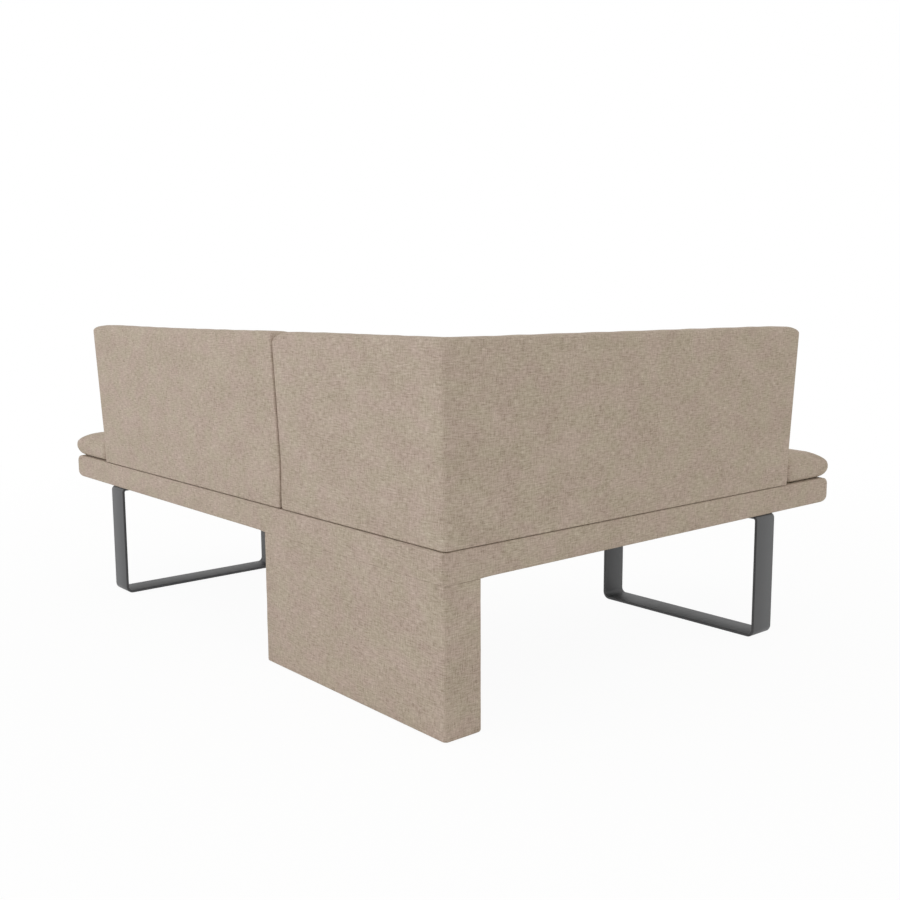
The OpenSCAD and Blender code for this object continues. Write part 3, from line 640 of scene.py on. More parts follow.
def make_base():
    """The L with its rounded edges, and the step for the linings underneath."""
    piece = block("base", at(0, 0, BASE_Z), at(SHORT_WING, DEPTH, BASE_TOP))
    grow(piece, at(DEPTH, 0, 0), (1, 0, 0), lambda c, n: n.y > FACING and c.x < DEPTH,
         (0, LONG_WING - DEPTH, 0))
    for z in (BASE_Z, BASE_TOP):
        round_edges(piece, at_height(z), BASE_ROUND, 6)
    for corner in ((0, 0, 1, 1), (SHORT_WING, 0, -1, 1), (SHORT_WING, DEPTH, -1, -1), (DEPTH, DEPTH, -1, -1),
                   (DEPTH, LONG_WING, -1, -1), (0, LONG_WING, 1, -1)):
        round_edges(piece, at_mitre(*corner, BASE_ROUND), BASE_CORNER, 8)
    pick_faces(piece, lambda c, n: n.z < -FLAT and c.z < BASE_Z + NEAR)
    inset(COVER_RETURN - BASE_ROUND, 0)
    inset(STEP_WALL, -COVER_STEP)
    end_edit()
    places = get_points(piece)
    for axis in (0, 1):
        places[:, axis] = squeeze(places[:, axis], BASE_CORNER, REAR_SHARE, REAR_REACH)
    set_points(piece, places)
    return piece


def draw_in_corner(piece):
    """Draws the short side in a little at the rear corner, where the fabric is folded over and stapled."""
    places = get_points(piece)
    x, y, z = places.T
    corner = around(x, 0, 0, FOLD_RUN) * around(y, 0, FOLD_START, FOLD_RUN)
    upwards = (1 - around(z, BASE_Z, *FOLD_LOW)) * (1 - FOLD_EASED * around(z, BASE_TOP, *FOLD_TOP))
    places[:, 1] += CORNER_FOLD * corner * upwards
    set_points(piece, places)


base = make_base()
print("the base reaches from", get_points(base).min(0).round(4), "to", get_points(base).max(0).round(4))

# %% [markdown]
# The base is then cut into a grid, swells a little where nothing holds it, and gets its unevenness. Its
# top lies under the pads and the backrests, so only the band that shows is free to move. Each hold is a
# pair of distances: the padding is held as far as the first and free from the second on.

# %% The base's padding
BAND_HOLD, END_HOLD = (0.001, 0.012), (0.010, 0.04)
EDGE_REACH, REAR_SKIN, REAR_FACE = 0.034, 0.0092, 0.0082
SIDE_EASE, END_BEFORE, END_AFTER = (0.03, 0.05), 0.01, 0.03
BASE_GRID, BAND_GRID, REAR_ZONE, INNER_ZONE = 0.02, 0.008, 0.012, 0.03
CORNER_CUTS, CUTS_ABOVE, CUTS_BELOW, BAND_CUT = (0.013, 0.075, 0.005), 0.022, 0.019, 0.004
BASE_FOLDS = (((0.004, 0.004, 0.396), (0.026, 0.004, 0.388), 0.0035, 0.0016),
              ((0.010, 0.002, 0.388), (0.040, 0.000, 0.382), 0.004, -0.0010),
              ((0.010, 0.002, 0.362), (0.070, 0.000, 0.366), 0.006, 0.0008),
              ((0.012, 0.003, 0.348), (0.095, 0.000, 0.348), 0.005, 0.0018))


def pin_base(places):
    """The top, the underside and the free ends are held, and the band between them is free."""
    x, y, z = places.T
    edges = np.maximum(around(z, BASE_Z, *BAND_HOLD), around(z, BASE_TOP, *BAND_HOLD))
    return 1 - (1 - edges) * fade(np.minimum(SHORT_WING - x, LONG_WING - y), *END_HOLD)


def tighten(piece, edge_z, inward, ends, height_share, depth_shares):
    """Makes a rear edge crisp as far as its ends along Y and X. inward is 1 up from it or -1 down."""
    places = get_points(piece)
    x, y, z = places.T
    sides = [(1 - fade(along, end - END_BEFORE, end + END_AFTER)) * around(across, 0, *SIDE_EASE)
             for along, across, end in ((y, x, ends[0]), (x, y, ends[1]))]
    height = (z - edge_z) * inward
    close = (height < EDGE_REACH) & (np.minimum(x, y) < REAR_SKIN)
    tight = squeeze(height, BASE_ROUND, height_share, EDGE_REACH)
    places[:, 2] = np.where(close, edge_z + inward * (height + (tight - height) * np.maximum(*sides)), z)
    for axis, (side, depth_share) in enumerate(zip(sides, depth_shares)):
        depth = places[:, axis]
        drawn = depth * (1 - (1 - depth_share) * side)
        places[:, axis] = np.where(close & (depth < REAR_FACE), drawn, depth)
    set_points(piece, places)


side_zones = [[(0, REAR_ZONE), (DEPTH, INNER_ZONE), (end, BASE_CORNER + MARGIN)]
              for end in (SHORT_WING, LONG_WING)]
cut_grid(base, (BASE_GRID, BASE_GRID, BAND_GRID),
         side_zones + [[(z, BASE_ROUND + MARGIN) for z in (BASE_Z, BASE_TOP)]],
         even_cuts(0, *CORNER_CUTS) + even_cuts(2, BASE_Z + CUTS_ABOVE, BASE_TOP - CUTS_BELOW, BAND_CUT))
draw_in_corner(base)
tighten(base, BASE_Z, 1, (PLINTH_LENGTH, PLINTH_T), height_share=0.12, depth_shares=(0.15, 0.5))
tighten(base, BASE_TOP, -1, (LONG_BACK_END, SHORT_BACK_END), height_share=0.45, depth_shares=(0.55, 0.55))
upholster(base, ("base_cover", "base_edge_foam", "platform_cloth"), pin_base, BASE_TOP, swelling=0.003,
          ripple_height=0.00035, ripple_run=0.09, folds=BASE_FOLDS)

# %% [markdown]
# ## The backrests
#
# Two backrests stand on the base: an L-shaped one at the corner and a straight one on the long wing, with
# an upright seam between them. Their thick top edges are round, and their foot is set back so that a fine
# dark line shows under them, a little wider behind the long wing. They are modelled upright and then pushed
# outwards with height, which keeps their ends upright as on the real bench.

# %% Backrests as blocks
BACK_ROUND, BACK_TUCK = 0.022, 0.004
BACK_CORNER, BACK_FREE_END, BACK_JOINT, JOINT_DRIFT = 0.014, 0.016, 0.006, 0.011
SLIT, SLIT_OPEN, SLIT_DEPTH, SLIT_WALL = 0.0014, 0.0022, 0.008, 0.0005
SLIT_SIDE, SLIT_CORNER, SLIT_HEIGHT = (0.010, 0.014), 0.03, (0.004, 0.009)
BACK_LEAN, LEAN_EASE, JOINT_GAP = 0.025, 0.25, 0.0065
END_SHARE, END_REACH, TOP_SHARE, TOP_REACH, TOP_EASE = 0.5, 0.04, 0.68, 0.06, (0.010, 0.045)
FOOT_EASE, FOOT_SHARPER = (0.03, 0.09), 0.55
DRIFT_HEIGHT, DRIFT_SIDES, CLOSING, CLOSING_SIDES = 0.13, (0.03, 0.14), (0.02, 0.06), (0.01, 0.08)
SHOULDER_HEIGHT = 0.06
joint_near, joint_far = DEPTH - JOINT_GAP / 2, DEPTH + JOINT_GAP / 2


def round_backrest(piece, corners):
    """Rounds a backrest's top and its upright edges, and sets its foot back in a fine slit."""
    round_edges(piece, at_height(BACK_TOP), BACK_ROUND, 7)
    round_edges(piece, at_height(BASE_TOP + SLIT), BACK_TUCK, 3)
    pick_faces(piece, lambda c, n: n.z < -FLAT)
    inset(SLIT_DEPTH - SLIT_WALL, 0)
    inset(SLIT_WALL, SLIT)
    end_edit()
    for *corner, radius in corners:
        round_edges(piece, at_mitre(*corner, BACK_ROUND), radius, 6)


def crisp_free_end(piece, axis, end):
    """Draws the rounding of a free end towards its end face, where the fabric is pulled tight."""
    places = get_points(piece)
    places[:, axis] = end - squeeze(end - places[:, axis], BACK_ROUND, END_SHARE, END_REACH)
    set_points(piece, places)


def tighten_free_end(piece, axis, end):
    """Makes a free end's top corner tighter than the long top edge, and its rear edge sharp at the foot."""
    places = get_points(piece)
    near_end = 1 - fade(end - places[:, axis], *TOP_EASE)
    sunk = BACK_TOP - places[:, 2]
    places[:, 2] -= (squeeze(sunk, BACK_ROUND, TOP_SHARE, TOP_REACH) - sunk) * near_end
    into, across = end - places[:, axis], places[:, 1 - axis]
    rear = around(places[:, 2], BASE_TOP, *FOOT_EASE) * (np.maximum(into, across) < BACK_FREE_END + MARGIN)
    places[:, axis] += FOOT_SHARPER * into * rear * (across < into + BACK_FREE_END)
    places[:, 1 - axis] -= FOOT_SHARPER * across * rear
    set_points(piece, places)


def open_slit(piece):
    """Opens the slit under the rear side along the long wing, where the base's padding is lower."""
    places = get_points(piece)
    x, y, z = places.T
    rear = around(x, 0, *SLIT_SIDE) * fade(y - x, 0, SLIT_CORNER)
    low = around(z, BASE_TOP, *SLIT_HEIGHT) * (z > BASE_TOP + NEAR)
    places[:, 2] += (SLIT_OPEN - SLIT) * rear * low
    set_points(piece, places)


def bend_joint(piece, widen):
    """Lets the joint drift towards the long wing near the foot, and open there and close at the top."""
    places = get_points(piece)
    y, z = places.T[1:]
    share = around(z, BASE_TOP, 0, DRIFT_HEIGHT) * around(y, DEPTH, *DRIFT_SIDES)
    places[:, 1] += (JOINT_DRIFT + widen) * share
    places[:, 1] -= widen * around(z, BACK_TOP, *CLOSING) * around(y, DEPTH, *CLOSING_SIDES)
    set_points(piece, places)


def drop_shoulder(piece, axis, end, run, drop, power):
    """Lets the top edge sink gently over a run before its end."""
    places = get_points(piece)
    along = np.clip(np.abs(end - places[:, axis]) / run, 0, 1)
    share = (1 - along) ** power * around(places[:, 2], BACK_TOP, 0, SHOULDER_HEIGHT)
    places[:, 2] -= drop * share * (places[:, 1 - axis] < BACK_T + NEAR)
    set_points(piece, places)


def lean_out(piece, with_short_wing):
    """Pushes the points outwards with height. The faces along each wing follow their own wing."""
    places = get_points(piece)
    x, y, z = places.T
    share = (z - BASE_TOP) / (BACK_TOP - BASE_TOP)
    along_long, along_short = 1.0, 0.0
    if with_short_wing:
        along_long = 1 - fade(x, BACK_T, BACK_T + LEAN_EASE)
        along_short = 1 - fade(y, BACK_T, BACK_T + LEAN_EASE)
    leaned = np.stack([x - BACK_LEAN * share * along_long, y - BACK_LEAN * share * along_short, z], 1)
    set_points(piece, leaned)


corner_backrest = block("corner_backrest", at(0, 0, BASE_TOP + SLIT),
                        at(SHORT_BACK_END, BACK_T, BACK_TOP))
grow(corner_backrest, at(BACK_T, 0, 0), (1, 0, 0), lambda c, n: n.y > FACING and c.x < BACK_T,
     (0, joint_near - BACK_T, 0))
round_backrest(corner_backrest, (
    (0, 0, 1, 1, BACK_CORNER), (SHORT_BACK_END, 0, -1, 1, BACK_FREE_END),
    (SHORT_BACK_END, BACK_T, -1, -1, BACK_FREE_END), (BACK_T, BACK_T, -1, -1, BACK_JOINT),
    (BACK_T, joint_near, -1, -1, BACK_JOINT), (0, joint_near, 1, -1, BACK_JOINT)))

long_backrest = block("long_backrest", at(0, joint_far, BASE_TOP + SLIT),
                      at(BACK_T, LONG_BACK_END, BACK_TOP))
round_backrest(long_backrest, (
    (0, joint_far, 1, 1, BACK_JOINT), (BACK_T, joint_far, -1, 1, BACK_JOINT),
    (0, LONG_BACK_END, 1, -1, BACK_FREE_END), (BACK_T, LONG_BACK_END, -1, -1, BACK_FREE_END)))
crisp_free_end(corner_backrest, 0, SHORT_BACK_END)
crisp_free_end(long_backrest, 1, LONG_BACK_END)

# %% [markdown]
# Each backrest swells between its tight edges. It's held at the foot, where it is screwed to the base, at
# the joint, where its neighbour presses on it, and at the free end, where the fabric is pulled tight.

# %% Backrests' padding
FOOT_HOLD, JOINT_HOLD, TIGHT_END = (0.004, 0.03), (0.002, 0.02), (0.008, 0.04)
BACK_GRID, END_ZONE, JOINT_ZONE, FOOT_ZONE = 0.015, 0.011, 0.006, 0.009
JOINT_WIDEN, JOINT_CUTS = 0.003, (0.009, 0.012, 0.016, 0.020, 0.026, 0.034)
CORNER_FOLDS = (((0.034, 0.000, 0.452), (0.058, 0.000, 0.460), 0.0035, 0.0011),
                ((0.040, 0.000, 0.441), (0.100, 0.000, 0.452), 0.0040, -0.0009),
                ((0.100, 0.000, 0.462), (0.128, 0.000, 0.470), 0.0035, 0.0010),
                ((0.105, 0.000, 0.450), (0.130, 0.000, 0.456), 0.0035, -0.0008),
                ((0.030, 0.000, 0.428), (0.075, 0.000, 0.432), 0.0040, 0.0007))
FOLD_SPANS, FOLDS_FROM, FOLDS_TO, FOLD_CUT = ((0.028, 0.052), (0.100, 0.140)), 0.012, 0.085, 0.005
corner_cuts = [cut for start, end in FOLD_SPANS for cut in even_cuts(0, start, end, FOLD_CUT)]
corner_cuts += even_cuts(2, BASE_TOP + FOLDS_FROM, BASE_TOP + FOLDS_TO, FOLD_CUT)
thick_zones = [(place, BACK_ROUND + MARGIN) for place in (0, BACK_T)]
back_height_zones = [(BASE_TOP, FOOT_ZONE), (BACK_TOP, BACK_ROUND + MARGIN)]


def pin_backrest(places):
    """The foot, the joint and the free end are held."""
    x, y, z = places.T
    ends = 1 - fade(np.minimum(SHORT_BACK_END - x, LONG_BACK_END - y), *TIGHT_END)
    return np.maximum.reduce([around(z, BASE_TOP, *FOOT_HOLD), around(y, DEPTH, *JOINT_HOLD), ends])


for piece, zones_x, zones_y, way, nodes in (
        (corner_backrest, thick_zones + [(SHORT_BACK_END, END_ZONE)],
         thick_zones + [(joint_near, JOINT_ZONE)], -1, ("corner_back_cover", "corner_back_foam")),
        (long_backrest, thick_zones, [(joint_far, JOINT_ZONE), (LONG_BACK_END, END_ZONE)],
         1, ("long_back_cover", "long_back_foam"))):
    at_corner = piece is corner_backrest
    cut_grid(piece, (BACK_GRID, BACK_GRID, BACK_GRID), (zones_x, zones_y, back_height_zones),
             [(1, DEPTH + way * reach) for reach in JOINT_CUTS] + (corner_cuts if at_corner else []))
    if at_corner:
        drop_shoulder(piece, 1, joint_near, run=0.06, drop=0.010, power=2.4)
        tighten_free_end(piece, 0, SHORT_BACK_END)
        drop_shoulder(piece, 0, SHORT_BACK_END, run=0.10, drop=0.009, power=2.2)
    else:
        tighten_free_end(piece, 1, LONG_BACK_END)
        drop_shoulder(piece, 1, LONG_BACK_END, run=0.12, drop=0.007, power=2.2)
    open_slit(piece)
    bend_joint(piece, 0 if at_corner else JOINT_WIDEN)
    lean_out(piece, at_corner)
    upholster(piece, nodes, pin_backrest, BACK_TOP, swelling=0.004, ripple_height=0.0004, ripple_run=0.12,
              folds=CORNER_FOLDS if at_corner else ())

# %% [markdown]
# ## The seat pads
#
# Each wing has one thick pad. It lies in front of the backrest and wraps round the backrest's free end,
# where its rounded nose shows from behind. From a thin band at the nose's height we inset the underside
# downwards, in a quarter of an ellipse, and the top upwards, steep at first and then nearly flat. Its foot
# is set back too, so that a dark slit shows under it.

# %% A pad's shape
PAD_RISE, PAD_NOSE, NOSE_BAND = 0.078, 0.035, 0.0005
PAD_UNDERCUT, PAD_CROWN_RUN, PAD_OVERHANG = 0.026, 0.092, 0.005
PAD_CORNER, PAD_INNER, PAD_NOTCH, PAD_LIP, PAD_SLIT = 0.023, 0.030, 0.010, 0.016, 0.003
QUARTER_STEPS, CROWN_POWER = 6, 2.6
CROWN_SHARES = (0, 0.012, 0.04, 0.09, 0.17, 0.28, 0.42, 0.60, 0.80, 1)
CLEAR = BACK_T + SOFT_GAP


def inset_steps(piece, upward, path):
    """Insets a level face along a path of places, each how far in and how far out."""
    pick_faces(piece, lambda c, n: n.z > FACING if upward else n.z < -FACING)
    for (run_a, rise_a), (run_b, rise_b) in zip(path, path[1:]):
        inset(run_b - run_a, rise_b - rise_a)
    end_edit()


def make_pad(name, start, end, back_end, far_side, swap):
    """A pad along u from start to end, with its notch at the backrest's end. swap lays u along Y."""
    def turn(u, v, z):
        return at(v, u, z) if swap else at(u, v, z)

    def along(place):
        return place.y if swap else place.x

    def across(place):
        return place.x if swap else place.y

    nose_z = BASE_TOP + PAD_NOSE
    piece = block(name, turn(start, CLEAR, nose_z - NOSE_BAND), turn(end, far_side, nose_z + NOSE_BAND))
    move = -PAD_OVERHANG - CLEAR
    grow(piece, turn(back_end, 0, 0), (0, 1, 0) if swap else (1, 0, 0),
         lambda c, n: across(n) < -FACING and along(c) > back_end, (move, 0, 0) if swap else (0, move, 0))
    quarter = [math.radians(90 * k / QUARTER_STEPS) for k in range(QUARTER_STEPS + 1)]
    foot_run, foot_rise = PAD_UNDERCUT + SLIT_DEPTH, PAD_NOSE - PAD_SLIT
    under = [(PAD_UNDERCUT * (1 - math.cos(t)), foot_rise * math.sin(t)) for t in quarter]
    under += [(foot_run, foot_rise), (foot_run + SLIT_WALL, PAD_NOSE)]
    crown = [(PAD_CROWN_RUN * s, (PAD_RISE - PAD_NOSE) * (1 - (1 - s) ** 2) ** (1 / CROWN_POWER))
             for s in CROWN_SHARES]
    inset_steps(piece, False, under)
    inset_steps(piece, True, crown)
    corners = ((start, CLEAR, 1, 1, PAD_INNER), (back_end, CLEAR, 1, 1, PAD_NOTCH),
               (back_end, -PAD_OVERHANG, 1, 1, PAD_LIP), (end, -PAD_OVERHANG, -1, 1, PAD_CORNER),
               (end, far_side, -1, -1, PAD_CORNER), (start, far_side, 1, -1, PAD_INNER))
    for u, v, way_u, way_v, radius in corners:
        corner = (v, u, way_v, way_u) if swap else (u, v, way_u, way_v)
        round_edges(piece, at_mitre(*corner, PAD_CROWN_RUN), radius, 8)
    return piece


short_pad = make_pad("short_pad", CLEAR, SHORT_WING + PAD_OVERHANG, SHORT_BACK_END + PAD_SLIT,
                     DEPTH - SOFT_GAP / 2, False)
long_pad = make_pad("long_pad", DEPTH + SOFT_GAP / 2, LONG_WING + PAD_OVERHANG, LONG_BACK_END + PAD_SLIT,
                    DEPTH, True)

# %% [markdown]
# The pads rest flat on the base and swell upwards. Along the backrests and where the two pads meet, their
# neighbours hold them.

# %% Pads' padding
PAD_FOOT_HOLD, CROWN_FREE, PRESSED = (0.001, 0.02), (0.045, 0.07), (0.002, 0.02)
PAD_GRID, BACK_END_ZONE, NOSE_ZONE, NOTCH_ZONE = 0.014, 0.002, 0.036, 0.012


def pin_pad(places):
    """The bottom is held, and so is what presses on a backrest or on the other pad."""
    x, y, z = places.T
    nearer, reach = np.minimum(x, y), PRESSED[1]
    beside_back = around(nearer, BACK_T, *PRESSED) * (nearer > BACK_T - MARGIN)
    beside_end = (((np.abs(x - SHORT_BACK_END) < reach) & (y < BACK_T + reach))
                  | ((np.abs(y - LONG_BACK_END) < reach) & (x < BACK_T + reach))).astype(float)
    pressed = np.maximum.reduce([beside_back, beside_end, around(y, DEPTH, *PRESSED)])
    return np.maximum(around(z, BASE_TOP, *PAD_FOOT_HOLD), around(z, BASE_TOP, *CROWN_FREE) * pressed)


across_zones = ((-PAD_OVERHANG, NOSE_ZONE), (CLEAR, NOTCH_ZONE), (DEPTH, NOSE_ZONE))
for piece, start, back_end, end in ((short_pad, CLEAR, SHORT_BACK_END, SHORT_WING),
                                    (long_pad, DEPTH, LONG_BACK_END, LONG_WING)):
    along_zones = ((start, PAD_INNER + MARGIN), (back_end, BACK_END_ZONE), (end, NOSE_ZONE))
    zones = (along_zones, across_zones) if piece is short_pad else (across_zones, along_zones)
    cut_grid(piece, (PAD_GRID, PAD_GRID, 0), (*zones, ()))
    upholster(piece, (piece.name + "_cover", piece.name + "_foam"), pin_pad, BASE_TOP, swelling=0.005,
              ripple_height=0.0006, ripple_run=0.16)

# %% [markdown]
# ## The plinth
#
# A narrow box in the same fabric carries the corner. Its cover is pulled tight over thin wadding, so its
# edges are small and its faces almost flat.

# %% The plinth
PLINTH_TOP_ROUND, PLINTH_FOOT_ROUND, PLINTH_CORNER = 0.001, 0.005, 0.008
PLINTH_GRID, PLINTH_TOP_ZONE, PLINTH_HOLD = (0.012, 0.016, 0.016), 0.003, (0.003, 0.03)

plinth_high = at(PLINTH_T, PLINTH_LENGTH, plinth_high.z)
plinth = block("plinth", plinth_low, plinth_high)
round_edges(plinth, at_height(plinth_high.z), PLINTH_TOP_ROUND, 2)
round_edges(plinth, at_height(plinth_low.z), PLINTH_FOOT_ROUND, 4)
for corner in ((0, 0, 1, 1), (PLINTH_T, 0, -1, 1), (PLINTH_T, PLINTH_LENGTH, -1, -1),
               (0, PLINTH_LENGTH, 1, -1)):
    round_edges(plinth, at_mitre(*corner, PLINTH_FOOT_ROUND), PLINTH_CORNER, 6)
cut_grid(plinth, PLINTH_GRID, (
    [(place, PLINTH_CORNER + MARGIN) for place in (0, PLINTH_T)],
    [(place, PLINTH_CORNER + MARGIN) for place in (0, PLINTH_LENGTH)],
    [(plinth_low.z, PLINTH_FOOT_ROUND + MARGIN), (plinth_high.z, PLINTH_TOP_ZONE)]))


def pin_plinth(places):
    """The foot and the top are held."""
    z = places[:, 2]
    return np.maximum(around(z, plinth_low.z, *PLINTH_HOLD), around(z, plinth_high.z, *PLINTH_HOLD))


upholster(plinth, ("plinth_cover", "plinth_wadding"), pin_plinth, plinth_high.z, swelling=0,
          ripple_height=0.0003, ripple_run=0.13)

# %% [markdown]
# ## The steel
#
# The loops are flat bar with a dark grey powder coat: fine grain and a soft gloss. Their narrow sides get a
# darker copy of the coat, which is painted shade. The same recipe with other shades makes the zinc of the
# fixings and the plastic of the glides.

# %% The steel
def coat_group():
    """Fine grain of a powder coat, as a mask and a height."""
    group = bpy.data.node_groups.new("powder grain", "ShaderNodeTree")
    leave = group.nodes.new("NodeGroupOutput")
    where = group.nodes.new("ShaderNodeTexCoord")
    for name, scale, detail in (("Grain", 900.0, 2.0), ("Cloud", 9.0, 3.0)):
        group.interface.new_socket(name, in_out="OUTPUT", socket_type="NodeSocketFloat")
        noise = add_node(group, "ShaderNodeTexNoise", Scale=scale, Detail=detail, Roughness=0.6,
                         Vector=where.outputs["Object"])
        feed(noise.outputs["Fac"], leave.inputs[name])
    return group


COAT = coat_group()


def coated(name, dark, light, roughness, metallic=0.0):
    """A coated metal or a plastic between two shades."""
    material, tree, shader = new_material(name, Metallic=metallic,
                                          Specular_IOR_Level=0.5 if metallic else 0.65)
    coat = add_node(tree, "ShaderNodeGroup", {"node_tree": COAT})
    cloud = coat.outputs["Cloud"]
    feed(calculate(tree, "MULTIPLY_ADD", cloud, 0.2, roughness - 0.1), shader.inputs["Roughness"])
    finish_surface(tree, shader, colour_ramp(tree, cloud, ((0.35, dark), (0.65, light))),
                   coat.outputs["Grain"], 0.15, 0.0002)
    return material


STEEL = coated("grey_powder_coat", (79, 80, 82), (86, 87, 89), 0.5)
# A darker copy of the coat: painted shade for the bar's narrow sides.
PAINTED_SHADE_STEEL = coated("powder_coat_painted_shade", (60, 60, 62), (68, 68, 70), 0.5)
ZINC = coated("zinc_plate", (170, 173, 176), (190, 192, 195), 0.35, 0.9)
PLASTIC = coated("black_plastic", (30, 30, 30), (38, 38, 38), 0.6)

# %% [markdown]
# ## The loops
#
# Each loop is one flat bar bent round, a little tighter at the top than at the floor. A box with four
# rounded edges gives the outline; its two open sides are deleted, and the band that stays gets the bar's
# thickness inwards. A fine bevel takes the sharpness off the edges, and the bar's narrow sides get the
# darker copy of the coat, as painted shade.

# %% The loops
BAR_T, SLED_BEND, SLED_TOP_BEND, BAR_EDGE = 0.008, 0.022, 0.013, 0.0008
CROSS_EDGE, EDGE_ANGLE, BEND_ANGLE = 0.05, math.radians(60), math.radians(35)


def make_sled(name, node, axis):
    """One loop, in the box of its node. axis is the bar's width: 0 for X or 1 for Y."""
    low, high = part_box(node)
    piece = block(name, low, high)
    middle = (low.z + high.z) / 2
    round_edges(piece, lambda a, b: abs(a[axis] - b[axis]) > CROSS_EDGE and a.z < middle, SLED_BEND, 12)
    round_edges(piece, lambda a, b: abs(a[axis] - b[axis]) > CROSS_EDGE and min(a.z, b.z) > high.z - NEAR,
                SLED_TOP_BEND, 10)
    pick_faces(piece, lambda c, n: abs(n[axis]) > FACING)
    bpy.ops.mesh.delete(type="FACE")
    end_edit()
    wall = piece.modifiers.new("bar", "SOLIDIFY")
    wall.thickness, wall.offset, wall.use_even_offset = BAR_T, -1, True
    soft = piece.modifiers.new("soft edge", "BEVEL")
    soft.width, soft.segments, soft.limit_method, soft.angle_limit = BAR_EDGE, 2, "ANGLE", EDGE_ANGLE
    apply_modifiers(piece)
    bpy.ops.object.shade_smooth_by_angle(angle=BEND_ANGLE)
    dress(piece, STEEL, "steel", node)
    # The narrow sides get the darker copy of the coat: painted shade.
    piece.data.materials.append(PAINTED_SHADE_STEEL)
    for polygon in piece.data.polygons:
        polygon.material_index = int(abs(polygon.normal[axis]) > FACING)


make_sled("short_sled", "short_wing_sled", 0)
make_sled("long_sled", "long_wing_sled", 1)

# %% [markdown]
# ## Wood, zinc and plastic
#
# The frame under the upholstery keeps its own shapes. Its timber has straight grain that follows the
# wood's length, the plywood shows its layers, and the fixings are zinc plated or black plastic.

# %% Wood and plywood
def timber(name, stretch, stops, ply_lines):
    """Wood with its grain drawn out level, and with fine layer lines if it's plywood."""
    material, tree, shader = new_material(name, Roughness=0.7)
    where = tree.nodes.new("ShaderNodeTexCoord").outputs["Object"]
    stretched = add_node(tree, "ShaderNodeMapping", Vector=where, Scale=stretch)
    grain = add_node(tree, "ShaderNodeTexNoise", Vector=stretched.outputs[0], Scale=60.0, Detail=5.0,
                     Roughness=0.6, Distortion=0.4).outputs["Fac"]
    colour = colour_ramp(tree, grain, stops)
    if ply_lines:
        lines = add_node(tree, "ShaderNodeTexWave", {"bands_direction": "Z"}, Vector=where, Scale=110.0,
                         Distortion=0.0)
        colour = multiply_colours(tree, colour, lines.outputs["Color"], 0.2)
    finish_surface(tree, shader, colour, grain, 0.2, 0.0004)
    return material


WOOD = timber("planed_spruce", (0.12, 0.12, 1.0), ((0.35, (178, 148, 106)), (0.65, (214, 188, 146))), False)
PLYWOOD = timber("birch_plywood", (0.3, 0.3, 1.0), ((0.35, (200, 174, 132)), (0.65, (224, 202, 164))), True)
FINISHES = {"wood": WOOD, "plywood": PLYWOOD, "steel": STEEL, "zinc": ZINC, "glide": PLASTIC}

# %% [markdown]
# Every node that stays gets the finish of its material slot, and nothing else about it changes.

# %% Finishes for the frame
kept = 0
for subpart in frame["record"]["subparts"]:
    finish = FINISHES.get(subpart["material_slot"])
    if finish is None:
        continue
    node = frame["nodes"][subpart["node"]]
    for place in node.material_slots:
        place.material = finish
    kept += 1
print(kept, "nodes have a finish of their own")

# %% [markdown]
# ## The linings
#
# A thin black cloth is stapled under each wing, inside the turned-in fabric. It's stretched, so it lies
# flat in the step that the fabric leaves.

# %% The linings' cloth
def lining_cloth():
    """A matt black cloth of pressed fibres."""
    material, tree, shader = new_material("black_lining", Roughness=0.95, Sheen_Weight=0.05)
    where = tree.nodes.new("ShaderNodeTexCoord").outputs["Object"]
    fibre = add_node(tree, "ShaderNodeTexNoise", Vector=where, Scale=450.0, Detail=3.0,
                     Roughness=0.7).outputs["Fac"]
    finish_surface(tree, shader, colour_ramp(tree, fibre, ((0.3, (16, 16, 17)), (0.7, (42, 42, 44)))),
                   fibre, 0.3, 0.0003)
    return material


LINING = lining_cloth()
LINING_UP, LINING_T, LINING_GRID = 0.0006, 0.0006, 0.03


def make_lining(name, node):
    """A flat sheet, stretched in the step under one wing."""
    low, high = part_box(node)
    low.z = BASE_Z + LINING_UP
    high.z = low.z + LINING_T
    piece = block(name, low, high)
    cut_grid(piece, (LINING_GRID, LINING_GRID, 0), ((), (), ()))
    lay_cloth(piece, BASE_Z)
    dress(piece, LINING, "lining", node)


make_lining("short_lining", "short_wing_lining")
make_lining("long_lining", "long_wing_lining")

# %% [markdown]
# ## The studio
#
# The bench stands on a plain white floor in even, soft light, a little stronger on its long side. The floor
# and the world show white to the camera. Near the bench the floor keeps a faint shadow, and further out it
# fades to plain white, so that no horizon shows.

# %% Helpers for the studio
def seen_by(tree, *rays):
    """1 for rays of these kinds, and 0 for the light that falls on the bench."""
    path = tree.nodes.new("ShaderNodeLightPath")
    share = path.outputs[rays[0]]
    for ray in rays[1:]:
        share = calculate(tree, "MAXIMUM", share, path.outputs[ray])
    return share


def remap(tree, value, ends, settings=None):
    """Turns a value between the first two ends into one between the last two."""
    node = add_node(tree, "ShaderNodeMapRange", settings)
    for socket, end in zip(node.inputs, (value, *ends)):
        feed(end, socket)
    return node.outputs[0]


def blend_into(target, share, first, second):
    """Feeds a socket with the first shader, and with a share of the second."""
    both = target.id_data.nodes.new("ShaderNodeMixShader")
    for socket, value in zip(both.inputs, (share, first.outputs[0], second.outputs[0])):
        feed(value, socket)
    feed(both.outputs[0], target)


# %% The floor
FLOOR_SIZE, FLOOR_DROP, FLOOR_SHADE = 60, 0.0005, (0.97, 0.97, 0.97, 1)
SHADOW_NEAR, SHADOW_FAR, WHITE_NEAR, WHITE_FAR = 1.2, 3.6, 0.95, 1.0

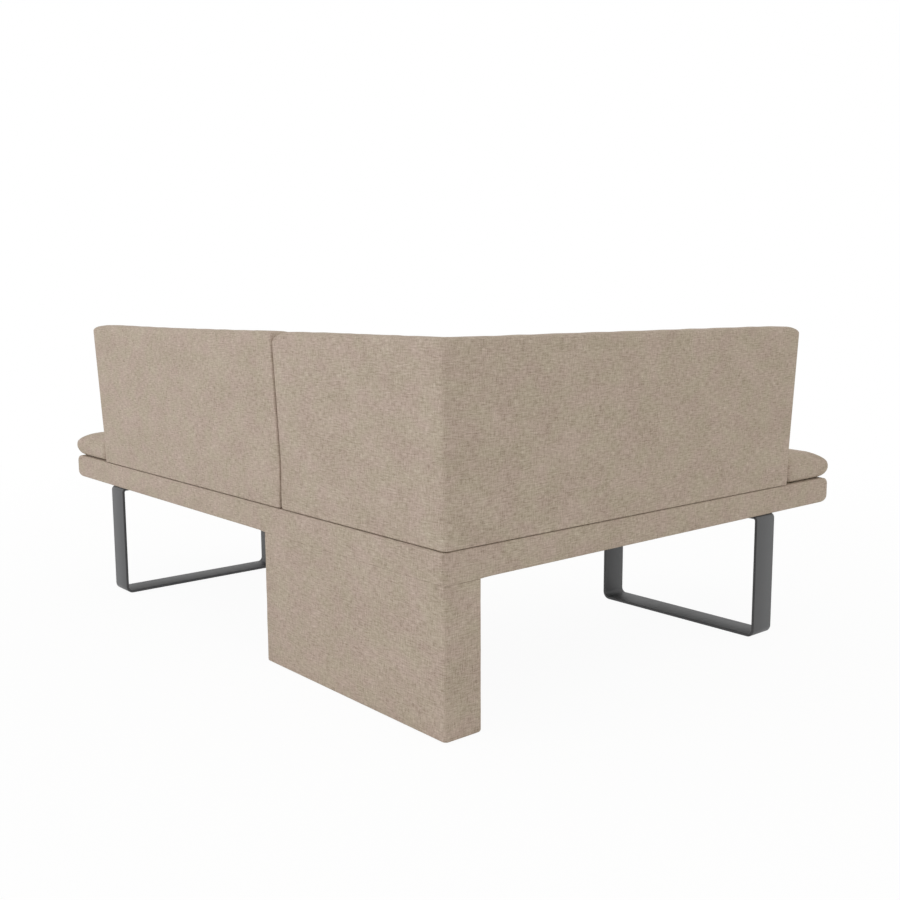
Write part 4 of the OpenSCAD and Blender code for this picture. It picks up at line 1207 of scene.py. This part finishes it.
bpy.ops.object.select_all(action="DESELECT")
bpy.ops.mesh.primitive_plane_add(size=FLOOR_SIZE, location=(0, 0, -FLOOR_DROP))
floor = bpy.context.object
floor.name = "floor"
white_floor, tree, matt = new_material("white_floor", Base_Color=FLOOR_SHADE, Roughness=0.9,
                                       Specular_IOR_Level=0.0)
glow = add_node(tree, "ShaderNodeEmission", Strength=1.0)
distance = add_node(tree, "ShaderNodeVectorMath", {"operation": "LENGTH"})
feed(tree.nodes.new("ShaderNodeTexCoord").outputs["Object"], distance.inputs[0])
white_share = remap(tree, distance.outputs["Value"], (SHADOW_NEAR, SHADOW_FAR, WHITE_NEAR, WHITE_FAR),
                    {"interpolation_type": "SMOOTHSTEP"})
glow_share = calculate(tree, "MULTIPLY", seen_by(tree, "Is Camera Ray", "Is Glossy Ray"), white_share)
blend_into(tree.nodes["Material Output"].inputs["Surface"], glow_share, matt, glow)
floor.data.materials.append(white_floor)
print("the floor is", FLOOR_SIZE, "m wide")

# %% [markdown]
# The sky lights the bench softly, a little more from the sides than from above, which keeps the top edges
# from glaring.

# %% The world
HORIZON_LIGHT, ZENITH_LIGHT = 0.782, 0.702
SKY, WHITE = (1, 0.99, 0.95, 1), (1, 1, 1, 1)

world = scene.world or bpy.data.worlds.new("studio")
scene.world = world
world.use_nodes = True
tree = world.node_tree
tree.nodes.clear()
way = tree.nodes.new("ShaderNodeTexCoord")
height = add_node(tree, "ShaderNodeSeparateXYZ", Vector=way.outputs["Generated"])
sky_light = remap(tree, height.outputs["Z"], (0.0, 1.0, HORIZON_LIGHT, ZENITH_LIGHT))
sky = add_node(tree, "ShaderNodeBackground", Color=SKY, Strength=sky_light)
white = add_node(tree, "ShaderNodeBackground", Color=WHITE, Strength=1.0)
seen = seen_by(tree, "Is Camera Ray", "Is Glossy Ray", "Is Transmission Ray")
blend_into(tree.nodes.new("ShaderNodeOutputWorld").inputs["Surface"], seen, sky, white)
scene.view_settings.view_transform = "Standard"
print("the sky is", HORIZON_LIGHT, "bright at the horizon and", ZENITH_LIGHT, "overhead")

# %% [markdown]
# One wide, cool lamp stands behind the long wing, which shows a little lighter than the short one.

# %% The lamp
LAMP_PLACE, LAMP_TARGET = at(-4.1, 2.1, 3.3), at(0.3, 0.9, 0.4)
LAMP_SIZE, LAMP_POWER, LAMP_COLOUR = 2.6, 45, (0.86, 0.88, 1.0)

bpy.ops.object.select_all(action="DESELECT")
bpy.ops.object.light_add(type="AREA", location=LAMP_PLACE)
lamp = bpy.context.object
lamp.name = "key"
lamp.data.size, lamp.data.energy, lamp.data.color = LAMP_SIZE, LAMP_POWER, LAMP_COLOUR
lamp.rotation_euler = (LAMP_TARGET - LAMP_PLACE).to_track_quat("-Z", "Y").to_euler()
print("the studio is ready")
